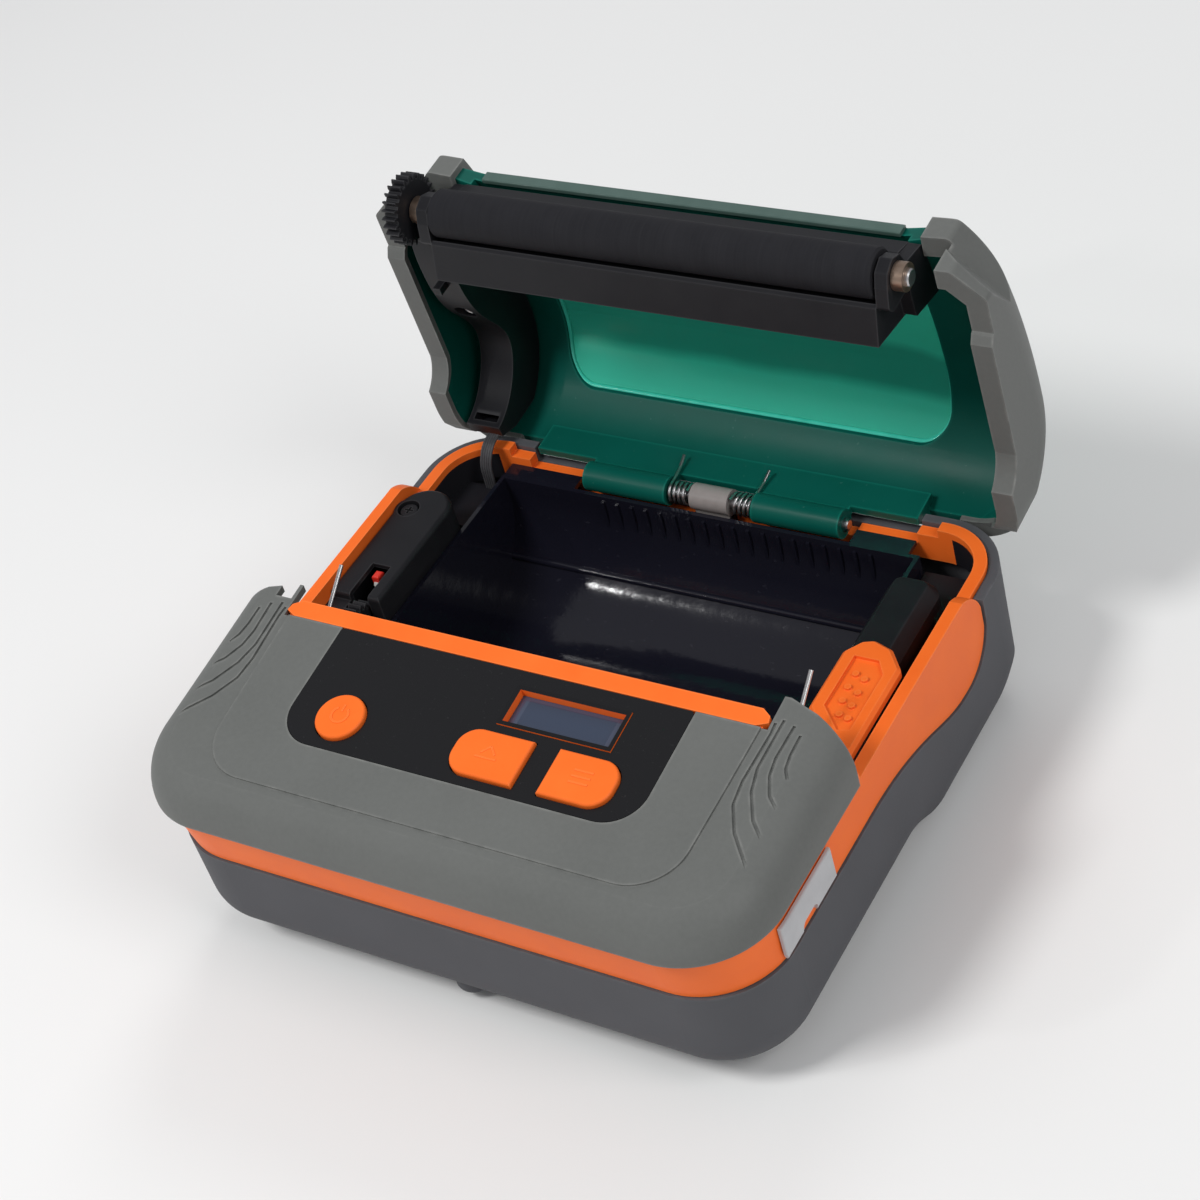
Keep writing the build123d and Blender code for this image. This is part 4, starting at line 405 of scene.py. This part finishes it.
key_mark("power_mark", "power_button", "power_key", power_mark)
key_mark("feed_mark", "feed_button", "feed_key", feed_mark)
key_mark("menu_mark", "menu_button", "menu_key", menu_mark)

# ---- Control panel and roll bay
# Black plastic with a polished face: the thin plate let into the cover round the keys,
# and the round-bottomed tray behind it that the paper roll drops into.
gloss = Finish("black_gloss", Specular_IOR_Level=0.3)
gloss_dust = gloss.ramp(gloss.noise(0.0009, 5), 0.66, 0.78)
gloss_haze = gloss.noise(0.012, 4)
gloss.set("Base Color", gloss.blend((0.008, 0.008, 0.009), (0.04, 0.04, 0.042), gloss_dust * 0.4))
gloss.set("Roughness", 0.2 + 0.14 * gloss_haze + 0.25 * gloss_dust)
gloss.bump(gloss.noise(0.0012, 3), 0.00001)
gloss.on("control_panel")

tray = Finish("tray_gloss", Specular_IOR_Level=0.45)
tray_rubs = tray.noise(0.0011, 5, stretch=(0.5, 1, 1))
tray_scuff = tray.ramp(tray_rubs, 0.66, 0.8)
tray_haze = tray.noise(0.02, 4)
tray.set("Base Color", tray.blend((0.008, 0.008, 0.014), (0.04, 0.04, 0.052), tray_scuff * 0.6))
tray.set("Roughness", 0.07 + 0.1 * tray_haze + 0.12 * tray_scuff)
tray.bump(tray.noise(0.004, 3), 0.00006)
tray.on("roll_bay", "gap_sensor")

# ---- Gear cover, side cover, platen holder, arm cover and other black mouldings
# Glass filled black nylon, with a fine spark grain and greyish edges.
nylon = Finish("black_nylon", Specular_IOR_Level=0.25)
nylon_cloud = nylon.noise(0.008, 4)
nylon_pale_edges = nylon.edges(0.0006)
nylon_tone = nylon.blend((0.007, 0.007, 0.009), (0.016, 0.016, 0.018), nylon_cloud)
nylon.set("Base Color", nylon.blend(nylon_tone, (0.06, 0.06, 0.063), nylon_pale_edges * 0.5))
nylon.set("Roughness", 0.36 + 0.16 * nylon_cloud)
nylon.bump(nylon.noise(0.0003, 2), 0.000025)
nylon.on(
    "gear_cover",
    "side_cover",
    "platen_holder",
    "lid_arm_cover",
    "lid_switch",
    "power_socket",
    "display_carrier",
    "platen_gear",
    "output_gear",
    "gear_cover_screw",
)

# ---- Display
# A small lit-from-behind glass, off in the picture: blue grey, with the darker field of
# fine dots under the glass and a paler margin round it.
glass = Finish("display_glass", Roughness=0.08, Specular_IOR_Level=0.6, Coat_Weight=0.4)
low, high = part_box("display")
middle = (low + high) / 2
offset = glass.node(
    "ShaderNodeVectorMath", {"operation": "SUBTRACT"}, {0: glass.place, 1: tuple(middle)}
)
inside = {}
for axis, half in (("X", 0.0108), ("Y", 0.0031)):
    away = glass.node("ShaderNodeSeparateXYZ", None, {0: offset}, output=axis)
    inside[axis] = abs(away) < half
field = inside["X"] * inside["Y"]
dots = glass.node(
    "ShaderNodeTexBrick",
    {"offset": 0.0},
    {
        "Vector": glass.place,
        "Scale": 1.0,
        "Mortar Size": 0.00004,
        "Brick Width": 0.00034,
        "Row Height": 0.00034,
        "Mortar Smooth": 0.2,
    },
    output="Fac",
)
cell = glass.blend((0.022, 0.034, 0.064), (0.034, 0.05, 0.088), dots)
glass.set("Base Color", glass.blend((0.045, 0.06, 0.1), cell, field))
glass.bump(glass.noise(0.01, 2), 0.00001)
glass.on("display")

# ---- Lid shell and its window
# Clear green plastic. The shell is deep coloured and looks nearly black where it is
# thick. The window let into it is a lighter tint, so the background shines through.
lid_green = Finish("lid_green", Specular_IOR_Level=0.12, Transmission_Weight=0.1, IOR=1.5)
green_cloud = lid_green.noise(0.02, 4)
green_lint = lid_green.ramp(lid_green.noise(0.0011, 5), 0.7, 0.78)
# Painted highlight: the shell's sharp edges are painted a lighter green.
green_edge_highlight = lid_green.edges(0.0011)
green_tone = lid_green.blend((0.002, 0.078, 0.058), (0.004, 0.112, 0.086), green_cloud)
green_tone = lid_green.blend(green_tone, (0.01, 0.2, 0.15), green_edge_highlight * 0.7)
lid_green.set("Base Color", lid_green.blend(green_tone, (0.2, 0.42, 0.37), green_lint * 0.25))
lid_green.set("Roughness", 0.26 + 0.14 * green_cloud)
lid_green.bump(lid_green.noise(0.006, 3), 0.00006)
lid_green.on("lid_shell")

window_tint = Finish("window_tint", Specular_IOR_Level=0.4, Transmission_Weight=0.35, IOR=1.45)
tint_cloud = window_tint.noise(0.03, 3)
# Painted highlight: the window's edges are painted a pale bright teal.
window_edge_highlight = window_tint.edges(0.0012)
tint_tone = window_tint.blend((0.035, 0.55, 0.37), (0.055, 0.66, 0.46), tint_cloud)
# Painted reflection of the roller's shadow: below a wavy line across its middle the window is painted a
# darker teal.
up_window = window_tint.along("Z")
shadow_wobble = window_tint.noise(0.03, 2, stretch=(1, 0.2, 0.2)) * 0.012
shade = window_tint.ramp(up_window + shadow_wobble, 0.0715, 0.0745)
tint_tone = window_tint.blend((0.025, 0.36, 0.25), tint_tone, shade)
# Painted highlight: a lighter teal band is painted along the window's foot.
painted_foot_highlight = window_tint.ramp(up_window + shadow_wobble * 0.4, 0.0575, 0.0545)
tint_tone = window_tint.blend(tint_tone, (0.045, 0.6, 0.42), painted_foot_highlight)
window_tint.set("Base Color", window_tint.blend(tint_tone, (0.16, 0.85, 0.66), window_edge_highlight))
window_tint.set("Roughness", 0.14 + 0.1 * tint_cloud)
window_tint.bump(window_tint.noise(0.01, 2), 0.00004)
window_tint.on("lid_window")

# ---- Window bead
# The window's inner edge carries a rounded bead of the same plastic. It runs all round
# just inside the edge, on the window's curved face, and catches the light.
low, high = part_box("lid_window")
bead_radius = 0.0007
bead_inset = 0.0021
bead_corner = 0.0075
bead_step = 0.003
corner_steps = 8
bead_route = []
for first, side, end in ((0, 1, 1), (90, -1, 1), (180, -1, -1), (270, 1, -1)):
    middle_x = side * (high.x - bead_inset - bead_corner)
    edge_z = high.z - bead_inset if end > 0 else low.z + bead_inset
    middle_z = edge_z - end * bead_corner
    for step in range(corner_steps + 1):
        angle = math.radians(first + 90 * step / corner_steps)
        bead_route.append(
            (middle_x + bead_corner * math.cos(angle), middle_z + bead_corner * math.sin(angle))
        )
bead_points = []
for start, finish in zip(bead_route, bead_route[1:] + bead_route[:1]):
    parts = max(1, round(math.dist(start, finish) / bead_step))
    for part in range(parts):
        x = start[0] + (finish[0] - start[0]) * part / parts
        z = start[1] + (finish[1] - start[1]) * part / parts
        met, spot, _, _ = nodes["lid_window"].ray_cast(Vector((x, 0.0, z)), Vector((0, 1, 0)))
        if met:
            bead_points.append((x, spot.y, z))
window_bead = bmesh.new()
thread(window_bead, bead_points, bead_radius, closed=True)
bead_tint = Finish("bead_tint", Roughness=0.16, Specular_IOR_Level=0.6)
bead_tint.set(
    "Base Color", bead_tint.blend((0.03, 0.5, 0.36), (0.08, 0.75, 0.56), bead_tint.noise(0.004, 3))
)
bead_tint.bump(bead_tint.noise(0.001, 2), 0.00001)
piece_of("window_bead", window_bead, "lid", bead_tint)

# ---- Lid edge strip
# Grey-green strip of clear plastic, glued along the lid's free edge.
trim = Finish("pale_trim", Roughness=0.3, Specular_IOR_Level=0.5)
trim_cloud = trim.noise(0.006, 4)
trim.set("Base Color", trim.blend((0.045, 0.085, 0.072), (0.085, 0.135, 0.118), trim_cloud))
trim.bump(trim.noise(0.0006, 2), 0.00002)
trim.on("lid_edge_strip")

# ---- Platen roller and front feet
# Black silicone, ground round the roller's shaft, so fine rings run about it and a grey
# bloom lies on it. The feet under the front are moulded in the same rubber.
rubber = Finish("ground_rubber", Specular_IOR_Level=0.15)
rings = rubber.noise(0.00035, 3, stretch=(1, 0.02, 0.02))
bloom = rubber.noise(0.006, 5)
rubber_tone = rubber.blend((0.008, 0.008, 0.01), (0.017, 0.017, 0.02), bloom)
rubber.set("Base Color", rubber.blend(rubber_tone, (0.03, 0.03, 0.033), rings * 0.5))
rubber.set("Roughness", 0.6 + 0.15 * bloom)
rubber.bump(rings, 0.00003)
rubber.on("platen_roller", "front_feet")

# ---- Steel: shaft, springs, wires, bracket, plate, screws and sockets
# Bright drawn or stamped steel, with fine drawing lines and a little grey in the hollows.
steel = Finish("bright_steel", Metallic=1.0)
steel_lines = steel.noise(0.0004, 4, stretch=(0.15, 1, 1))
steel_cloud = steel.noise(0.006, 4)
steel.set("Base Color", steel.blend((0.42, 0.42, 0.43), (0.68, 0.67, 0.66), steel_cloud))
steel.set("Roughness", 0.22 + 0.22 * steel_lines)
steel.bump(steel_lines, 0.000008)
steel.on(
    "tact_switches",
    "lever_pin",
    "tear_bar",
    "latch_wire_left",
    "latch_wire_right",
    "head_bracket",
    "head_spring",
    "gear_plate",
    "gear_posts",
    "motor",
    "usb_socket",
    "hinge_pin",
    "lid_spring_left",
    "lid_spring_right",
    "arm_screw",
    "platen_shaft",
)

# ---- Platen bushes
# Oiled bronze sleeves pressed into the holder's cheeks, brown and polished at the rim.
bronze = Finish("oiled_bronze", Metallic=1.0)
bronze_cloud = bronze.noise(0.0016, 4)
bronze.set("Base Color", bronze.blend((0.3, 0.2, 0.14), (0.55, 0.42, 0.33), bronze_cloud))
bronze.set("Roughness", 0.3 + 0.2 * bronze_cloud)
bronze.bump(bronze.noise(0.0002, 2), 0.00001)
bronze.on("platen_bushes")

# ---- Thermal head and heat sink
# A glazed ceramic bar with its dark heating line, glued to an anodised aluminium block.
ceramic = Finish("glazed_ceramic", Roughness=0.18, Specular_IOR_Level=0.6)
glaze_cloud = ceramic.noise(0.008, 4)
ceramic.set("Base Color", ceramic.blend((0.5, 0.47, 0.4), (0.6, 0.57, 0.5), glaze_cloud))
ceramic.bump(ceramic.noise(0.003, 2), 0.00002)
ceramic.on("thermal_head")

sink = Finish("heat_sink_alloy", Metallic=1.0)
sink_lines = sink.noise(0.0003, 3, stretch=(0.05, 1, 1))
sink.set("Base Color", sink.blend((0.5, 0.51, 0.53), (0.68, 0.69, 0.71), sink_lines))
sink.set("Roughness", 0.3 + 0.2 * sink_lines)
sink.bump(sink_lines, 0.00001)
sink.on("heat_sink")

# ---- Gears and pinion
# Natural white acetal idler, a little waxy, and a turned brass pinion on the motor. The
# two gears that show from outside are moulded black.
acetal = Finish("white_acetal", Specular_IOR_Level=0.45, Subsurface_Weight=0.1)
acetal_cloud = acetal.noise(0.003, 3)
acetal.set("Base Color", acetal.blend((0.66, 0.65, 0.6), (0.78, 0.77, 0.73), acetal_cloud))
acetal.set("Roughness", 0.36 + 0.14 * acetal_cloud)
acetal.bump(acetal.noise(0.0004, 2), 0.00001)
acetal.on("idler_gear")

brass = Finish("turned_brass", Metallic=1.0)
brass_lines = brass.noise(0.0003, 3, stretch=(1, 0.1, 0.1))
brass.set("Base Color", brass.blend((0.55, 0.37, 0.12), (0.72, 0.52, 0.2), brass_lines))
brass.set("Roughness", 0.25 + 0.2 * brass_lines)
brass.bump(brass_lines, 0.00001)
brass.on("motor_pinion")

# ---- Boards
# Glass fibre boards under green lacquer, with copper tracks showing as paler lines.
board = Finish("board_lacquer", Specular_IOR_Level=0.5)
tracks = board.node(
    "ShaderNodeTexBrick",
    {"offset": 0.37},
    {
        "Vector": board.place,
        "Scale": 1.0,
        "Mortar Size": 0.0002,
        "Brick Width": 0.0061,
        "Row Height": 0.0017,
    },
    output="Fac",
)
board.set("Base Color", board.blend((0.008, 0.085, 0.03), (0.05, 0.2, 0.08), tracks * 0.7))
board.set("Roughness", 0.3 + 0.15 * board.noise(0.01))
board.bump(tracks, 0.00003)
board.on("button_board", "main_board")

# ---- Battery
# A flat pack of cells in black shrink film with a woven tape round its middle.
wrap = Finish("battery_wrap", Specular_IOR_Level=0.5)
wrap_cloud = wrap.noise(0.005, 5)
wrap.set("Base Color", wrap.blend((0.014, 0.014, 0.02), (0.04, 0.04, 0.05), wrap_cloud))
wrap.set("Roughness", 0.3 + 0.25 * wrap_cloud)
wrap.bump(wrap_cloud, 0.00012)
wrap.on("battery")

# ---- Port cover
# Soft pale grey rubber flap over the sockets, dull, and paler along its sharp edges.
flap = Finish("port_rubber", Specular_IOR_Level=0.3)
flap_cloud = flap.noise(0.004, 5)
flap_pale_edges = flap.edges(0.0006)
flap_tone = flap.blend((0.42, 0.42, 0.43), (0.52, 0.52, 0.53), flap_cloud)
flap.set("Base Color", flap.blend(flap_tone, (0.55, 0.55, 0.55), flap_pale_edges * 0.5))
flap.set("Roughness", 0.55 + 0.15 * flap_cloud)
flap.bump(flap.noise(0.0004, 2), 0.00003)
flap.on("port_cover")

# ---- Hinge knuckle, switch plunger and its collar
# The grey plastic knuckle between the two lid springs, and the red plastic pin that the
# shut lid presses, which slides in a white collar below the gear cover's opening.
knuckle = Finish("knuckle_grey", Specular_IOR_Level=0.5)
knuckle_cloud = knuckle.noise(0.003, 4)
knuckle.set("Base Color", knuckle.blend((0.2, 0.18, 0.17), (0.32, 0.29, 0.28), knuckle_cloud))
knuckle.set("Roughness", 0.32 + 0.15 * knuckle_cloud)
knuckle.bump(knuckle.noise(0.0004, 2), 0.00002)
knuckle.on("hinge_knuckle")

red = Finish("red_plunger", Specular_IOR_Level=0.5)
red_cloud = red.noise(0.002, 3)
red.set("Base Color", red.blend((0.55, 0.02, 0.012), (0.7, 0.035, 0.02), red_cloud))
red.set("Roughness", 0.3 + 0.15 * red_cloud)
red.bump(red.noise(0.0004, 2), 0.00001)
red.on("lid_switch_plunger")

low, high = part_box("lid_switch_plunger")
collar_foot = 0.0017
collar_top = 0.0014
collar_height = 0.0012
collar_drop = 0.0024
collar = bmesh.new()
bmesh.ops.create_cone(
    collar,
    cap_ends=True,
    segments=32,
    radius1=collar_foot,
    radius2=collar_top,
    depth=collar_height,
)
seat = Vector(((low.x + high.x) / 2, (low.y + high.y) / 2, high.z - collar_drop))
bmesh.ops.translate(collar, verts=collar.verts, vec=seat)
piece_of("switch_collar", collar, "base", acetal)

# ---- Floor, backdrop and light
# The printer stands on a plain pale table in a pale room, under three large soft lamps
# and one small one, which puts the bright spark on the polished tray.
table = bmesh.new()
bmesh.ops.create_grid(table, x_segments=1, y_segments=1, size=6.0)
table_mesh = bpy.data.meshes.new("table")
table.to_mesh(table_mesh)
table.free()
floor = bpy.data.objects.new("table", table_mesh)
bpy.context.scene.collection.objects.link(floor)
pale = Finish("pale_table", Roughness=0.75, Specular_IOR_Level=0.2)
pale.set("Base Color", pale.blend((0.76, 0.76, 0.75), (0.8, 0.8, 0.79), pale.noise(0.4, 2)))
pale.on(floor)

world = bpy.data.worlds.new("room")
world.use_nodes = True
bpy.context.scene.world = world
room = NodeTree(world.node_tree, "Background")
seen = room.node("ShaderNodeLightPath", output="Is Camera Ray")
through = room.node("ShaderNodeLightPath", output="Is Transmission Ray")
shown = seen.maths("MAXIMUM", seen, through)
room_level = 0.4
backdrop_level = 0.85
room.set(
    "Strength",
    room.node("ShaderNodeMapRange", None, {0: shown, "To Min": room_level, "To Max": backdrop_level}),
)
room.set("Color", (0.95, 0.96, 1.0))

for name, place, size, power, mirrored in (
    ("key_light", (-0.35, -0.55, 0.95), 0.3, 6.4, False),
    ("fill_light", (0.75, -0.15, 0.75), 0.5, 3.2, True),
    ("back_light", (-0.2, 0.75, 0.8), 0.45, 2.4, False),
    ("spark_light", (-0.52, -0.55, 0.6), 0.05, 0.5, True),
):
    lamp = bpy.data.lights.new(name, "AREA")
    lamp.shape = "DISK"
    lamp.size = size
    lamp.energy = power
    light = bpy.data.objects.new(name, lamp)
    light.location = place
    light.visible_glossy = mirrored
    light.rotation_euler = (Vector((0, 0, 0.04)) - Vector(place)).to_track_quat("-Z", "Y").to_euler()
    bpy.context.scene.collection.objects.link(light)
